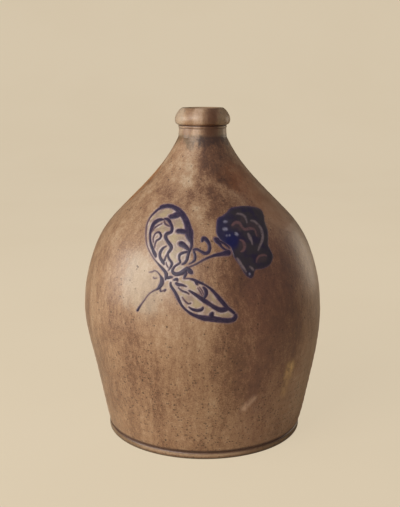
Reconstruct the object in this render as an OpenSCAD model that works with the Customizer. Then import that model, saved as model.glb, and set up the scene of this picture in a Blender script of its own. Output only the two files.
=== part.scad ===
// Wheel-thrown stoneware jug with a strap handle and a brushed leaf and blossom spray.
// Millimetres, +Z up, origin at the centre of the base. The spray faces -Y, the handle is at +Y.

/* [Body] */
// Height from the surface it stands on to the top of the lip
jug_h = 370; // [340:1:410]
// Radius of the wall just above the foot
foot_r = 112.5; // [104:0.5:120]
// Radius of the belly, the widest part
belly_r = 136.5; // [128:0.5:148]
// Height of the widest part of the belly
belly_h = 143; // [125:1:165]
// Thickness of the thrown wall
wall = 8.5; // [6:0.5:11]
// Thickness of the floor
floor_t = 11; // [9:0.5:15]

/* [Foot] */
// Height of the rounded band at the foot
foot_h = 7.5; // [5:0.5:8.5]
// Radius of the foot's lower edge
foot_round = 1.8; // [1:0.1:2.4]
// Depth of the tooled groove above the foot band
groove_d = 1.2; // [0.6:0.1:2]
// Height of the tooled groove
groove_h = 1.6; // [1:0.1:3]

/* [Neck and lip] */
// Outside radius of the neck
neck_r = 26.5; // [25:0.5:29]
// Height of the straight part of the neck
neck_h = 10; // [6:0.5:13]
// Height of the collar's flare below the straight neck
flare_h = 8; // [5:0.5:12]
// Height of the bead between neck and lip
bead_h = 3; // [2:0.5:5]
// How far the bead stands out from the neck
bead_proud = 0.6; // [0.4:0.1:1.4]
// Outside radius of the lip at its widest
lip_r = 31; // [29.5:0.5:33]
// Height of the lip
lip_h = 19; // [16:0.5:23]
// Radius of the mouth's bore
mouth_r = 15.5; // [13:0.5:17]
// Radius of the mouth's rounded upper edge
mouth_round = 3.5; // [2:0.5:4.5]

/* [Handle] */
// Width of the strap
handle_w = 28; // [22:0.5:32]
// Thickness of the strap half way round
handle_t = 15; // [12:0.5:17]
// How far the strap bows out from the line between its two ends
handle_bow = 49; // [44:0.5:56]
// Depth of the handle's upper end below the top of the lip
root_drop = 14; // [13:0.5:17]
// Depth of the strap's landing on the shoulder below the top of the lip
land_drop = 106; // [96:1:116]
// Length of the pressed tail, measured downwards
tail_h = 32; // [26:1:40]
// Depth of the flutes pulled along the strap
flute_d = 1.2; // [0.5:0.1:2]

/* [Slip and cobalt] */
// Thickness of the slip coat inside
lining_t = 0.6; // [0.4:0.1:1]
// Thickness of the brushed cobalt
cobalt_t = 0.7; // [0.4:0.1:1.2]
// Width of the spray's drawing unit
spray_w = 104; // [90:1:112]
// Height of the spray's drawing unit, as a share of the height from the belly to the neck
spray_h_share = 0.493; // [0.44:0.01:0.54]
// How far the spray's lines sink at one drawing unit to the side of the middle
side_sag = 10; // [0:1:16]
// Distance of the spray's hub to the left of the middle
hub_left = 36; // [28:1:42]
// Height of the spray's hub above the belly, as a share of the height from the belly to the neck
hub_h_share = 0.327; // [0.28:0.01:0.38]

/* [Hidden] */
$fn = 160;
clay = [0.62, 0.48, 0.36];
dark_clay = [0.52, 0.38, 0.27];
slip = [0.30, 0.19, 0.12];
cobalt = [0.13, 0.12, 0.27];
// Air between a brushed stroke and the wall it lies on
lift = 0.02;
// Least distance between two points of a profile
least = 0.01;
// How deep the tail's underside is pressed into the shoulder before it is trimmed
tail_press = 1.5;
// How far the root's flat end lies behind the neck's surface, at the edges of the strap
root_clear = 1.5;

// Heights of the seams between the pieces
lip_z = jug_h - lip_h;
bead_z = lip_z - bead_h;
neck_z = bead_z - neck_h;
collar_z = neck_z - flare_h;
inner_r = foot_r - groove_d - wall;
spray_h = (neck_z - belly_h) * spray_h_share;
hub_h = belly_h + (neck_z - belly_h) * hub_h_share;

// Profile of the body, as shares of the height and the radius between the named stations
lower_shares = [[0, 0], [0.10, 0.14], [0.25, 0.31], [0.50, 0.59], [0.72, 0.83], [0.88, 0.96], [1, 1]];
upper_shares = [[0, 1], [0.13, 0.985], [0.24, 0.946], [0.35, 0.885], [0.44, 0.812], [0.53, 0.70],
    [0.62, 0.548], [0.71, 0.39], [0.80, 0.242], [0.88, 0.13], [0.95, 0.052], [1, 0.006]];
// Profile of the lip, as shares of its height and of how far it stands out from the neck
lip_shares = [[0, 0], [0.03, 0.30], [0.12, 0.78], [0.30, 1], [0.50, 0.88], [0.70, 0.46], [0.88, -0.10],
    [1, -0.70]];
// Profile of the bead, as shares of its height and of how far it stands out
bead_shares = [[0, 0], [0.15, 0.7], [0.5, 1], [0.85, 0.7], [1, 0]];

// Curve through points, with the given number of steps between each two
function smooth(points, steps) = [
    for (i = [0:len(points) - 2], k = [0:steps - 1])
        let (t = k / steps, a = points[max(i - 1, 0)], b = points[i],
            c = points[i + 1], d = points[min(i + 2, len(points) - 1)])
        0.5 * (2 * b + (c - a) * t + (2 * a - 5 * b + 4 * c - d) * t * t
            + (3 * b - a - 3 * c + d) * t * t * t),
    points[len(points) - 1]
];
// Points of an arc in a profile, as [height, radius], with the angle from the radius towards +Z
function arc(z, r, size, from, to, steps) = [
    for (k = [0:steps]) let (a = from + (to - from) * k / steps) [z + size * sin(a), r + size * cos(a)]
];
// Part of a profile between two heights, both ends included
function between(profile, low, high) = concat(
    [[low, lookup(low, profile)]],
    [for (p = profile) if (p[0] > low + least && p[0] < high - least) p],
    [[high, lookup(high, profile)]]
);
function flip(profile) = [for (p = profile) [p[1], p[0]]];
function reverse(list) = [for (i = [len(list) - 1:-1:0]) list[i]];
function last(list) = list[len(list) - 1];

// Outside of the jug, as [height, radius] from the base to the top of the lip. The foot band turns in to the
// groove by the given angle
band_turn = 55;
foot_profile = concat(
    arc(foot_round, foot_r - foot_round, foot_round, -90, 0, 4),
    arc(foot_h - foot_round, foot_r - foot_round, foot_round, 0, band_turn, 3),
    [[foot_h, foot_r - groove_d]]
);
groove_profile = [[foot_h, foot_r - groove_d], [foot_h + groove_h / 2, foot_r - groove_d],
    [foot_h + groove_h, foot_r]];
wall_z = foot_h + groove_h;
lower_profile = smooth([for (s = lower_shares)
    [wall_z + (belly_h - wall_z) * s[0], foot_r + (belly_r - foot_r) * s[1]]], 3);
upper_profile = smooth([for (s = upper_shares)
    [belly_h + (neck_z - belly_h) * s[0], neck_r + (belly_r - neck_r) * s[1]]], 3);
bead_profile = [for (s = bead_shares) [bead_z + bead_h * s[0], neck_r + bead_proud * s[1]]];
lip_profile = smooth([for (s = lip_shares) [lip_z + lip_h * s[0], neck_r + (lip_r - neck_r) * s[1]]], 2);
body_profile = concat(groove_profile, lower_profile, upper_profile);
outer_profile = concat(foot_profile, body_profile, bead_profile, lip_profile);

// Inside of the wall: the outside moved in by the wall's thickness, square to it
function inward(profile, i, depth) =
    let (a = profile[max(i - 1, 0)], b = profile[min(i + 1, len(profile) - 1)],
        along = (b - a) / norm(b - a))
    profile[i] + depth * [along[1], -along[0]];
thrown_profile = concat(lower_profile, [for (i = [1:len(upper_profile) - 1]) upper_profile[i]]);
inner_profile = concat(
    [[0, inner_r], [floor_t, inner_r]],
    [for (i = [1:len(thrown_profile) - 1])
        let (p = inward(thrown_profile, i, wall)) if (p[0] > floor_t + wall) [p[0], max(p[1], mouth_r)]],
    [[neck_z + neck_h, mouth_r]]
);

// Turns a profile's outside and inside, both as [height, radius], into a ring
module turned(outside, inside) {
    rotate_extrude() polygon(concat(flip(outside), flip(reverse(inside))));
}

module base_disc() {
    color(clay) cylinder(h = floor_t, r = inner_r);
}

module foot_band() {
    color(clay) turned(foot_profile, [[0, inner_r], [foot_h, inner_r]]);
}

module lower_wall() {
    color(clay) turned(between(body_profile, foot_h, belly_h), between(inner_profile, foot_h, belly_h));
}

module upper_wall() {
    color(clay) turned(between(body_profile, belly_h, collar_z), between(inner_profile, belly_h, collar_z));
}

module neck_collar() {
    throat = [[collar_z, lookup(collar_z, inner_profile)], [neck_z, mouth_r], [bead_z, mouth_r]];
    color(clay) turned(concat(between(body_profile, collar_z, neck_z), [[bead_z, neck_r]]), throat);
}

module neck_bead() {
    color(clay) turned(bead_profile, [[bead_z, mouth_r], [lip_z, mouth_r]]);
}

module lip_ring() {
    mouth = arc(jug_h - mouth_round, mouth_r + mouth_round, mouth_round, 180, 90, 6);
    color(clay) turned(lip_profile, concat([[lip_z, mouth_r]], mouth));
}

// Slip coat over the floor and the inside of the thrown wall
module slip_lining() {
    coat_z = floor_t + lining_t;
    outside = between(inner_profile, floor_t, collar_z);
    inside = [for (p = between(inner_profile, coat_z, collar_z)) [p[0], p[1] - lining_t]];
    color(slip) rotate_extrude() polygon(concat([[0, floor_t]], flip(outside), flip(reverse(inside)),
        [[0, coat_z]]));
}

// Handle: its middle line runs from the lip to the shoulder, in the plane x = 0
root_at = [neck_r, jug_h - root_drop];
land_at = [lookup(jug_h - land_drop, outer_profile), jug_h - land_drop];
span = land_at - root_at;
outward = [-span[1], span[0]] / norm(span);
// Stations of the strap: share of the span, share of the bow, share of the thickness, share of the width
strap_shares = [[0.00, -0.11, 1.66, 1.10], [0.06, 0.14, 1.50, 1.10], [0.10, 0.40, 1.18, 1.05],
    [0.17, 0.66, 1.03, 1.02], [0.26, 0.83, 1.00, 1.00], [0.36, 0.94, 1.01, 1.00], [0.47, 1.00, 1.03, 0.98],
    [0.58, 0.99, 1.05, 0.98], [0.69, 0.90, 1.02, 0.97], [0.79, 0.75, 0.97, 0.96], [0.86, 0.55, 0.91, 0.95],
    [0.91, 0.32, 0.85, 0.95], [0.96, 0.18, 0.76, 0.96]];
// Stations of the tail: share of its height, share of the thickness, share of the width
tail_shares = [[0.08, 0.70, 0.98], [0.32, 0.66, 1.00], [0.58, 0.62, 0.98], [0.80, 0.54, 0.86],
    [0.93, 0.40, 0.64], [1.00, 0.20, 0.36]];
// Distance of the root's flat end from the axis, deep enough that none of it shows beside the neck
root_back = sqrt(pow(neck_r, 2) - pow(handle_w / 2 * strap_shares[0][3], 2)) - root_clear;
// Section of the strap, as shares of half its width and half its thickness, with the flutes marked by 1
section_shares = [[-1, 0.1, 0], [-0.94, 0.6, 0], [-0.72, 0.92, 0], [-0.38, 1, 1], [-0.18, 1, 0], [0, 1.04, 0],
    [0.18, 1, 0], [0.38, 1, 1], [0.72, 0.92, 0], [0.94, 0.6, 0], [1, 0.1, 0], [0.9, -0.6, 0],
    [0.6, -0.94, 0], [0.3, -1, 0], [0, -1, 0], [-0.3, -1, 0], [-0.6, -0.94, 0], [-0.9, -0.6, 0]];
// Points of the section on the strap's outer face
outer_points = [for (k = [0:len(section_shares) - 1]) if (section_shares[k][1] > 0.5) k];
handle_stations = concat(
    [for (s = strap_shares) let (p = root_at + span * s[0] + outward * handle_bow * s[1])
        [s[0] == 0 ? root_back : p[0], p[1], handle_t * s[2], handle_w * s[3]]],
    [for (s = tail_shares)
        let (z = land_at[1] - tail_h * s[0], half = handle_t * s[1] / 2,
            p = [lookup(z, outer_profile), z] + outward * (half - tail_press))
        [p[0], p[1], 2 * half, handle_w * s[2]]]
);
// Steps between two stations, and the rings at which the root, the strap and the whole line end
line_steps = 3;
handle_line = smooth(handle_stations, line_steps);
root_end = 2 * line_steps;
strap_end = (len(strap_shares) - 1) * line_steps;
line_end = len(handle_line) - 1;

// One ring of the handle, with its points moved out by the given coat
function handle_ring(i, coat = 0) =
    let (a = handle_line[max(i - 1, 0)], b = handle_line[min(i + 1, line_end)], m = handle_line[i],
        along = [b[0] - a[0], b[1] - a[1]] / norm([b[0] - a[0], b[1] - a[1]]), out = [-along[1], along[0]])
    [for (s = section_shares)
        let (rise = s[1] * (m[2] / 2 + coat) - s[2] * flute_d)
        [s[0] * (m[3] / 2 + coat), m[0] + out[0] * rise, m[1] + out[1] * rise]];
// The same ring, laid on the shoulder where it would sink into it
function seated(ring) = [for (p = ring)
    let (r = lookup(p[2], outer_profile) + lift)
    norm([p[0], p[1]]) < r ? [p[0], sqrt(r * r - p[0] * p[0]), p[2]] : p];

// Closed solid through rings of points
module loft(rings) {
    count = len(rings[0]);
    ends = len(rings) * count;
    points = concat([for (ring = rings, p = ring) p],
        [[for (p = rings[0]) 1] * rings[0] / count, [for (p = rings[0]) 1] * last(rings) / count]);
    sides = [for (i = [0:len(rings) - 2], k = [0:count - 1])
        let (a = i * count + k, b = i * count + (k + 1) % count)
        each [[a, b, b + count], [a, b + count, a + count]]];
    caps = [for (k = [0:count - 1]) let (b = (k + 1) % count)
        each [[ends, b, k], [ends + 1, ends - count + k, ends - count + b]]];
    polyhedron(points, concat(sides, caps));
}

// The jug as the root meets it: the pressed clay bridges the narrow grooves over and under the bead's crest
bridged_profile = [for (p = outer_profile)
    [p[0], p[0] > bead_z + least && p[0] < lip_z + lip_h / 2 ? max(p[1], neck_r + bead_proud) : p[1]]];
module bridged_outside() {
    rotate_extrude() polygon(concat([[0, 0]], flip(bridged_profile), [[0, jug_h]]));
}

module handle_root() {
    color(clay) difference() {
        loft([for (i = [0:root_end]) handle_ring(i)]);
        bridged_outside();
    }
}

module handle_strap() {
    color(dark_clay) loft([for (i = [root_end:strap_end]) handle_ring(i)]);
}

module handle_tail() {
    color(clay) loft([for (i = [strap_end:line_end]) seated(handle_ring(i))]);
}

// Point on the wall for a point of the drawing, in shares of its unit, raised by the given height
function on_wall(u, v, rise) =
    let (x = u * spray_w - hub_left, sag = side_sag * pow(x / spray_w, 2),
        z = hub_h + v * spray_h * (1 - lean_share * v) - sag, r = lookup(z, outer_profile) + rise)
    [x, -sqrt(r * r - x * x), z];
// How much the drawing closes up upwards, where the shoulder leans back
lean_share = 0.065;
// Section of a brushed stroke, as shares of half its width and of the cobalt's thickness
stroke_shares = [[-1, 0], [-0.6, 1], [0.6, 1], [1, 0]];
// Share of a stroke's width left at its two ends, which the brush rounds off
tip_share = 0.55;

// A brushed stroke along points of the form [across, up, width], all in shares of the drawing's unit
module stroke(shares, steps = 3) {
    line = smooth(shares, steps);
    end = len(line) - 1;
    loft([for (i = [0:end])
        let (a = line[max(i - 1, 0)], b = line[min(i + 1, end)], m = line[i],
            along = [b[0] - a[0], b[1] - a[1]] / norm([b[0] - a[0], b[1] - a[1]]),
            half = m[2] / 2 * (i == 0 || i == end ? tip_share : 1))
        [for (s = stroke_shares)
            on_wall(m[0] + along[1] * s[0] * half, m[1] - along[0] * s[0] * half, lift + s[1] * cobalt_t)]]);
}

// A filled shape: rings of its outline drawn in towards its middle, over and under
module filled(outline_shares, middle, fill_shares) {
    edge = smooth(concat(outline_shares, [outline_shares[0]]), 2);
    outline = [for (i = [0:len(edge) - 2]) edge[i]];
    top = [for (f = fill_shares) [for (p = outline)
        let (q = middle + f * (p - middle)) on_wall(q[0], q[1], lift + (f == 1 ? cobalt_t / 2 : cobalt_t))]];
    under = [for (f = fill_shares) [for (p = outline)
        let (q = middle + f * (p - middle)) on_wall(q[0], q[1], lift)]];
    loft(concat(top, reverse(under)));
}

// Strokes of the upper leaf: edge, inner line, winding vein, drops, fold and curls
upper_leaf_shares = [
    [[-0.010, 0.020, 0.010], [-0.045, 0.055, 0.015], [-0.093, 0.112, 0.016], [-0.160, 0.210, 0.015],
        [-0.205, 0.320, 0.014], [-0.226, 0.420, 0.013], [-0.215, 0.540, 0.016], [-0.165, 0.645, 0.024],
        [-0.095, 0.705, 0.038], [-0.016, 0.718, 0.046], [0.070, 0.685, 0.044], [0.146, 0.615, 0.044],
        [0.196, 0.535, 0.052], [0.222, 0.449, 0.060], [0.227, 0.363, 0.048], [0.218, 0.290, 0.034],
        [0.196, 0.215, 0.020], [0.165, 0.140, 0.012]],
    [[-0.070, 0.560, 0.014], [-0.120, 0.553, 0.028], [-0.160, 0.505, 0.030], [-0.180, 0.420, 0.026],
        [-0.168, 0.325, 0.024], [-0.131, 0.229, 0.026], [-0.088, 0.160, 0.022], [-0.052, 0.098, 0.014]],
    [[-0.045, 0.573, 0.012], [0.003, 0.544, 0.028], [0.036, 0.477, 0.030], [0.024, 0.435, 0.028],
        [-0.026, 0.410, 0.024], [-0.007, 0.353, 0.024], [0.041, 0.286, 0.028], [-0.002, 0.229, 0.022],
        [0.012, 0.171, 0.020], [0.041, 0.114, 0.022], [0.003, 0.047, 0.012]],
    [[0.022, 0.600, 0.040], [0.052, 0.612, 0.034], [0.080, 0.632, 0.014]],
    [[0.085, 0.455, 0.046], [0.125, 0.452, 0.036], [0.170, 0.440, 0.022]],
    [[0.115, 0.335, 0.044], [0.150, 0.315, 0.036], [0.186, 0.292, 0.018]],
    [[0.172, 0.238, 0.014], [0.118, 0.218, 0.018], [0.106, 0.178, 0.016], [0.112, 0.130, 0.014],
        [0.072, 0.098, 0.018], [0.056, 0.052, 0.018], [0.098, 0.030, 0.020], [0.140, 0.055, 0.014],
        [0.150, 0.100, 0.010]],
    [[-0.148, 0.365, 0.010], [-0.142, 0.425, 0.015], [-0.105, 0.448, 0.015], [-0.090, 0.410, 0.010]],
    [[-0.070, 0.305, 0.012], [-0.108, 0.255, 0.016], [-0.082, 0.215, 0.012]]
];
// Strokes of the lower leaf: its two edges, midrib, cross mark and inner marks
lower_leaf_shares = [
    [[0.031, -0.075, 0.014], [0.070, -0.135, 0.020], [0.117, -0.231, 0.026], [0.165, -0.317, 0.034],
        [0.242, -0.384, 0.044], [0.347, -0.427, 0.052], [0.462, -0.440, 0.056], [0.577, -0.438, 0.052],
        [0.645, -0.418, 0.040], [0.668, -0.385, 0.022]],
    [[0.160, -0.026, 0.014], [0.242, -0.030, 0.024], [0.328, -0.068, 0.026], [0.414, -0.125, 0.030],
        [0.481, -0.192, 0.030], [0.538, -0.269, 0.032], [0.602, -0.328, 0.034], [0.648, -0.356, 0.020]],
    [[0.080, -0.082, 0.012], [0.156, -0.135, 0.022], [0.232, -0.160, 0.026], [0.328, -0.221, 0.028],
        [0.385, -0.278, 0.036], [0.452, -0.326, 0.038], [0.550, -0.350, 0.020]],
    [[0.357, -0.112, 0.012], [0.374, -0.150, 0.026], [0.350, -0.188, 0.014]],
    [[0.205, -0.305, 0.012], [0.260, -0.338, 0.024], [0.325, -0.335, 0.026], [0.352, -0.295, 0.014]],
    [[0.443, -0.370, 0.024], [0.462, -0.398, 0.028]]
];
// The stem with its joint and the marks at the hub
stem_shares = [
    [[0.194, 0.085, 0.012], [0.290, 0.143, 0.018], [0.404, 0.200, 0.026], [0.510, 0.238, 0.030],
        [0.622, 0.254, 0.024]],
    [[0.190, 0.050, 0.022], [0.232, 0.037, 0.036]],
    [[0.020, -0.036, 0.014], [0.055, -0.012, 0.022], [0.105, -0.016, 0.022], [0.150, 0.012, 0.012]],
    [[-0.012, -0.005, 0.012], [-0.008, -0.050, 0.020], [0.006, -0.085, 0.010]]
];
// The hooked tendril and its spur
tendril_shares = [
    [[0.250, 0.262, 0.014], [0.300, 0.256, 0.020], [0.370, 0.228, 0.028], [0.414, 0.267, 0.032],
        [0.404, 0.343, 0.034], [0.357, 0.386, 0.048]],
    [[0.266, 0.232, 0.014], [0.268, 0.160, 0.018], [0.215, 0.138, 0.012]]
];
// The small bud beside the blossom
bud_shares = [
    [[0.462, 0.378, 0.036], [0.495, 0.332, 0.030], [0.535, 0.305, 0.020], [0.575, 0.286, 0.012]]
];
// The sprig to the left of the leaves: calyx, thin stem and curls
tail_sprig_shares = [
    [[-0.100, 0.035, 0.010], [-0.062, -0.010, 0.034], [-0.060, -0.055, 0.040], [-0.088, -0.088, 0.018]],
    [[-0.105, -0.108, 0.018], [-0.135, -0.128, 0.014], [-0.208, -0.192, 0.013], [-0.265, -0.269, 0.015],
        [-0.308, -0.350, 0.024]],
    [[-0.190, 0.047, 0.010], [-0.150, 0.066, 0.010], [-0.122, 0.050, 0.009]],
    [[-0.060, -0.130, 0.012], [-0.030, -0.118, 0.018], [-0.012, -0.128, 0.010]]
];
// Outline and middle of the filled blossom
blossom_shares = [[0.488, 0.477], [0.500, 0.573], [0.550, 0.604], [0.590, 0.640], [0.634, 0.678],
    [0.749, 0.705], [0.854, 0.697], [0.935, 0.669], [0.978, 0.611], [0.988, 0.525], [1.007, 0.458],
    [0.998, 0.382], [0.978, 0.305], [1.036, 0.248], [1.055, 0.190], [1.017, 0.114], [0.940, 0.076],
    [0.864, 0.066], [0.845, 0.001], [0.816, -0.020], [0.768, 0.009], [0.711, 0.104], [0.653, 0.190],
    [0.642, 0.250], [0.630, 0.300], [0.575, 0.325], [0.525, 0.380]];
blossom_middle_share = [0.780, 0.360];
blossom_fill_shares = [0.02, 0.18, 0.36, 0.54, 0.70, 0.86, 1];
// Span of the blue wash on the handle's tail, as shares of the tail's part of the middle line
wash_shares = [0.25, 0.8];

module cobalt_upper_leaf() {
    color(cobalt) for (line = upper_leaf_shares) stroke(line);
}

module cobalt_lower_leaf() {
    color(cobalt) for (line = lower_leaf_shares) stroke(line);
}

module cobalt_stem() {
    color(cobalt) for (line = stem_shares) stroke(line);
}

module cobalt_blossom() {
    color(cobalt) filled(blossom_shares, blossom_middle_share, blossom_fill_shares);
}

module cobalt_bud() {
    color(cobalt) for (line = bud_shares) stroke(line);
}

module cobalt_tendril() {
    color(cobalt) for (line = tendril_shares) stroke(line);
}

module cobalt_tail_sprig() {
    color(cobalt) for (line = tail_sprig_shares) stroke(line);
}

// Blue wash: a coat over the outer face of the tail
module cobalt_handle_wash() {
    first = strap_end + round((line_end - strap_end) * wash_shares[0]);
    final = strap_end + round((line_end - strap_end) * wash_shares[1]);
    color(cobalt) loft([for (i = [first:final])
        let (under = seated(handle_ring(i)), over = seated(handle_ring(i, cobalt_t)))
        concat([for (k = outer_points) over[k]], reverse([for (k = outer_points) under[k]]))]);
}

base_disc();
foot_band();
lower_wall();
upper_wall();
neck_collar();
neck_bead();
lip_ring();
handle_root();
handle_strap();
handle_tail();
slip_lining();
cobalt_upper_leaf();
cobalt_lower_leaf();
cobalt_stem();
cobalt_blossom();
cobalt_bud();
cobalt_tendril();
cobalt_tail_sprig();
cobalt_handle_wash();
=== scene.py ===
"""Dresses the packed stoneware jug: thrown clay, pulled handle, brushed cobalt, slip lining and stage."""

import math

import bpy
import numpy as np
from bpy.props import FloatProperty, FloatVectorProperty, PointerProperty
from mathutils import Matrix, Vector, noise


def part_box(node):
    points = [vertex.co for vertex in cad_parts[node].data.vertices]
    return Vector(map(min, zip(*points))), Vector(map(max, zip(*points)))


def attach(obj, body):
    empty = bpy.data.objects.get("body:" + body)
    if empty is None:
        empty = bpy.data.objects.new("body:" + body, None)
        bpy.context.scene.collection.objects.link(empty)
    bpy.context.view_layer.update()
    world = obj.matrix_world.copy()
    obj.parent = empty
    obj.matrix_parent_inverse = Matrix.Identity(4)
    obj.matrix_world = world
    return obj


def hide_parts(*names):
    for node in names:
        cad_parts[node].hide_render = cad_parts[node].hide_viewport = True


bl_info = {
    "name": "Stoneware Jug",
    "version": (1, 0, 0),
    "blender": (4, 5, 0),
    "location": "View3D > Sidebar > Jug",
    "description": "Dresses the frame of a salt-glazed stoneware jug with clay, glaze and brushed cobalt",
    "category": "Add Mesh",
}

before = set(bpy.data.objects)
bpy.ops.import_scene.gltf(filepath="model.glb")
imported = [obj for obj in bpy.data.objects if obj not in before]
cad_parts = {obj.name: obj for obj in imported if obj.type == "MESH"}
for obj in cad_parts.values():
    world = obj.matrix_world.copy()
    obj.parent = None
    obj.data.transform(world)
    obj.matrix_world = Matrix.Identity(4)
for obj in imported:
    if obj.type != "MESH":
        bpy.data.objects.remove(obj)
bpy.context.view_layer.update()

MM = 0.001
# Depth of a cobalt edge in the clay, of its underside and of the blossom's underside
INK_SINK = 0.04 * MM
STROKE_ROOT = 0.22 * MM
BLOSSOM_ROOT = 0.25 * MM
# Thickness of the blue wash on the handle, and the depth of its underside in the jug
WASH_DEPTH = 0.35 * MM
WASH_ROOT = 0.2 * MM
# How far the handle's ends are pressed into the clay, and the gap that a seated face keeps
PRESSED_IN = 1.5 * MM
SEAT_LIFT = 0.03 * MM
# Step along the handle's line
HANDLE_STEP = 1.6 * MM
# Steps along a brush stroke, and along one whose distance alone is wanted, in drawing units
STROKE_STEP = 0.011
EDGE_STEP = 0.02
# Width of the strap's upper end, as a share of the strap's width
STRAP_END_SHARE = 1.05
# How much the drawing closes up upwards, where the shoulder leans back
LEAN_SHARE = 0.065


def paint(red, green, blue):
    """Linear colour for a colour given in steps of 255."""
    return tuple(
        (c / 255 / 12.92) if c / 255 <= 0.04045 else ((c / 255 + 0.055) / 1.055) ** 2.4
        for c in (red, green, blue)
    )


# Shapes read from the frame


def turned_rows(name, side=1):
    """Heights and radii of a turned node's outside, or of its inside with side=-1, lowest first."""
    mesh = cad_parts[name].data
    rows = {}
    for face in mesh.polygons:
        centre, normal = face.center, face.normal
        reach = math.hypot(centre.x, centre.y)
        if reach and side * (centre.x * normal.x + centre.y * normal.y) / reach > 0.03:
            for index in face.vertices:
                co = mesh.vertices[index].co
                height = round(co.z, 5)
                rows[height] = max(rows.get(height, 0.0), math.hypot(co.x, co.y))
    return np.array([[z, rows[z]] for z in sorted(rows)])


def spline(points, step):
    """Smooth line through points, with about the given step between its own points."""
    points = np.asarray(points, float)
    padded = np.vstack([2 * points[0] - points[1], points, 2 * points[-1] - points[-2]])
    line = []
    for i in range(len(points) - 1):
        a, b, c, d = padded[i : i + 4]
        square, cube = 2 * a - 5 * b + 4 * c - d, 3 * b - a - 3 * c + d
        count = max(1, math.ceil(np.linalg.norm((c - b)[:2]) / step))
        for t in np.arange(count) / count:
            line.append(0.5 * (2 * b + (c - a) * t + square * t**2 + cube * t**3))
    line.append(points[-1])
    return np.array(line)


def joined(*parts):
    """One line from several that meet end to end."""
    line = [parts[0]]
    for part in parts[1:]:
        gap = np.linalg.norm(part[0] - line[-1][-1])
        line.append(part[1:] if gap < 0.01 * MM else part)
    return np.vstack(line)


def closed(points):
    """An outline that ends at its first point."""
    return np.vstack([points, points[:1]])


foot_rows = turned_rows("foot_band")
lower_rows = turned_rows("lower_wall")
upper_rows = turned_rows("upper_wall")
collar_rows = turned_rows("neck_collar")
bead_rows = turned_rows("neck_bead")
lip_rows = turned_rows("lip_ring")
foot_top = foot_rows[-1, 0]
belly_z, belly_r = upper_rows[0]
collar_z = collar_rows[0, 0]
bead_z = bead_rows[0, 0]
lip_z = lip_rows[0, 0]
jug_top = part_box("lip_ring")[1].z
neck_r = collar_rows[-1, 1]
floor_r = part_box("base_disc")[1].x
strap_low, strap_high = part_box("handle_strap")
groove_rows = lower_rows[lower_rows[:, 0] < foot_top + 2.2 * MM]
wall_rows = joined(lower_rows[len(groove_rows) - 1 :], upper_rows, collar_rows)
# Height of the straight neck's lower end, above the collar's flare, and of the spray's upper edge
neck_z = collar_z + 8 * MM
spray_top = belly_z + 140 * MM
wall_line = spline(wall_rows, 1.0 * MM)
jug_line = joined(foot_rows, groove_rows, wall_line, bead_rows, lip_rows)


def jug_radius(z):
    """Outside radius of the jug at a height."""
    return np.interp(z, jug_line[:, 0], jug_line[:, 1])


# Sizes and colours that a user may change


def length(name, description, default, **limits):
    """Property that holds a length."""
    return FloatProperty(name=name, description=description, default=default, unit="LENGTH", **limits)


def power(name, description, default):
    """Property that holds a lamp's power."""
    return FloatProperty(name=name, description=description, default=default, unit="POWER")


def colour_of(name, description, *steps):
    """Property that holds a colour, given in steps of 255."""
    return FloatVectorProperty(
        name=name, description=description, default=paint(*steps), min=0.0, max=1.0, size=3, subtype="COLOR"
    )


class JugThrowing(bpy.types.PropertyGroup):
    """How evenly the potter threw the jug."""

    ring_depth: length(
        "Ring depth", "Depth of the throwing rings of the fingers", 0.16 * MM, min=0, max=1 * MM, precision=5
    )
    ring_pitch: length(
        "Ring pitch", "Distance between two throwing rings", 8.5 * MM, min=3 * MM, max=30 * MM, precision=4
    )
    out_of_round: length(
        "Out of round", "How far the body is from a true circle", 0.3 * MM, min=0, max=2 * MM, precision=5
    )
    lean: length(
        "Lean", "How far the lower body leans to the right", 2.6 * MM, min=0, max=6 * MM, precision=4
    )
    pitting: length(
        "Pitting", "Depth of the glaze's orange-peel surface", 0.22 * MM, min=0, max=1 * MM, precision=5
    )


class JugHandle(bpy.types.PropertyGroup):
    """The pulled strap handle."""

    width: length("Width", "Width of the strap", (strap_high.x - strap_low.x) / STRAP_END_SHARE)
    thickness: length("Thickness", "Thickness of the strap half way round", 15 * MM)
    bow: length("Bow", "How far the strap bows out from the line between its two ends", 49 * MM)
    root_drop: length("Root drop", "Depth of the handle's upper end below the top of the lip", 14 * MM)
    land_drop: length("Landing drop", "Depth of the handle's landing below the top of the lip", 106 * MM)
    tail: length("Tail", "Length of the pressed tail, measured downwards", 32 * MM)
    flute_depth: length("Flute depth", "Depth of the flutes pulled along the strap", 1.5 * MM)


class JugSpray(bpy.types.PropertyGroup):
    """The brushed leaf and blossom spray."""

    unit_width: length("Unit width", "Width of the spray's drawing unit", 104 * MM)
    unit_height: length("Unit height", "Height of the spray's drawing unit", (neck_z - belly_z) * 0.493)
    side_sag: length("Side sag", "How far the lines sink at one drawing unit from the middle", 10 * MM)
    hub_left: length("Hub to the left", "Distance of the spray's hub to the left of the middle", 36 * MM)
    hub_height: length(
        "Hub height", "Height of the spray's hub above the base", belly_z + (neck_z - belly_z) * 0.327
    )
    ink_depth: length("Ink depth", "Thickness of the brushed cobalt", 0.42 * MM, precision=5)


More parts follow.
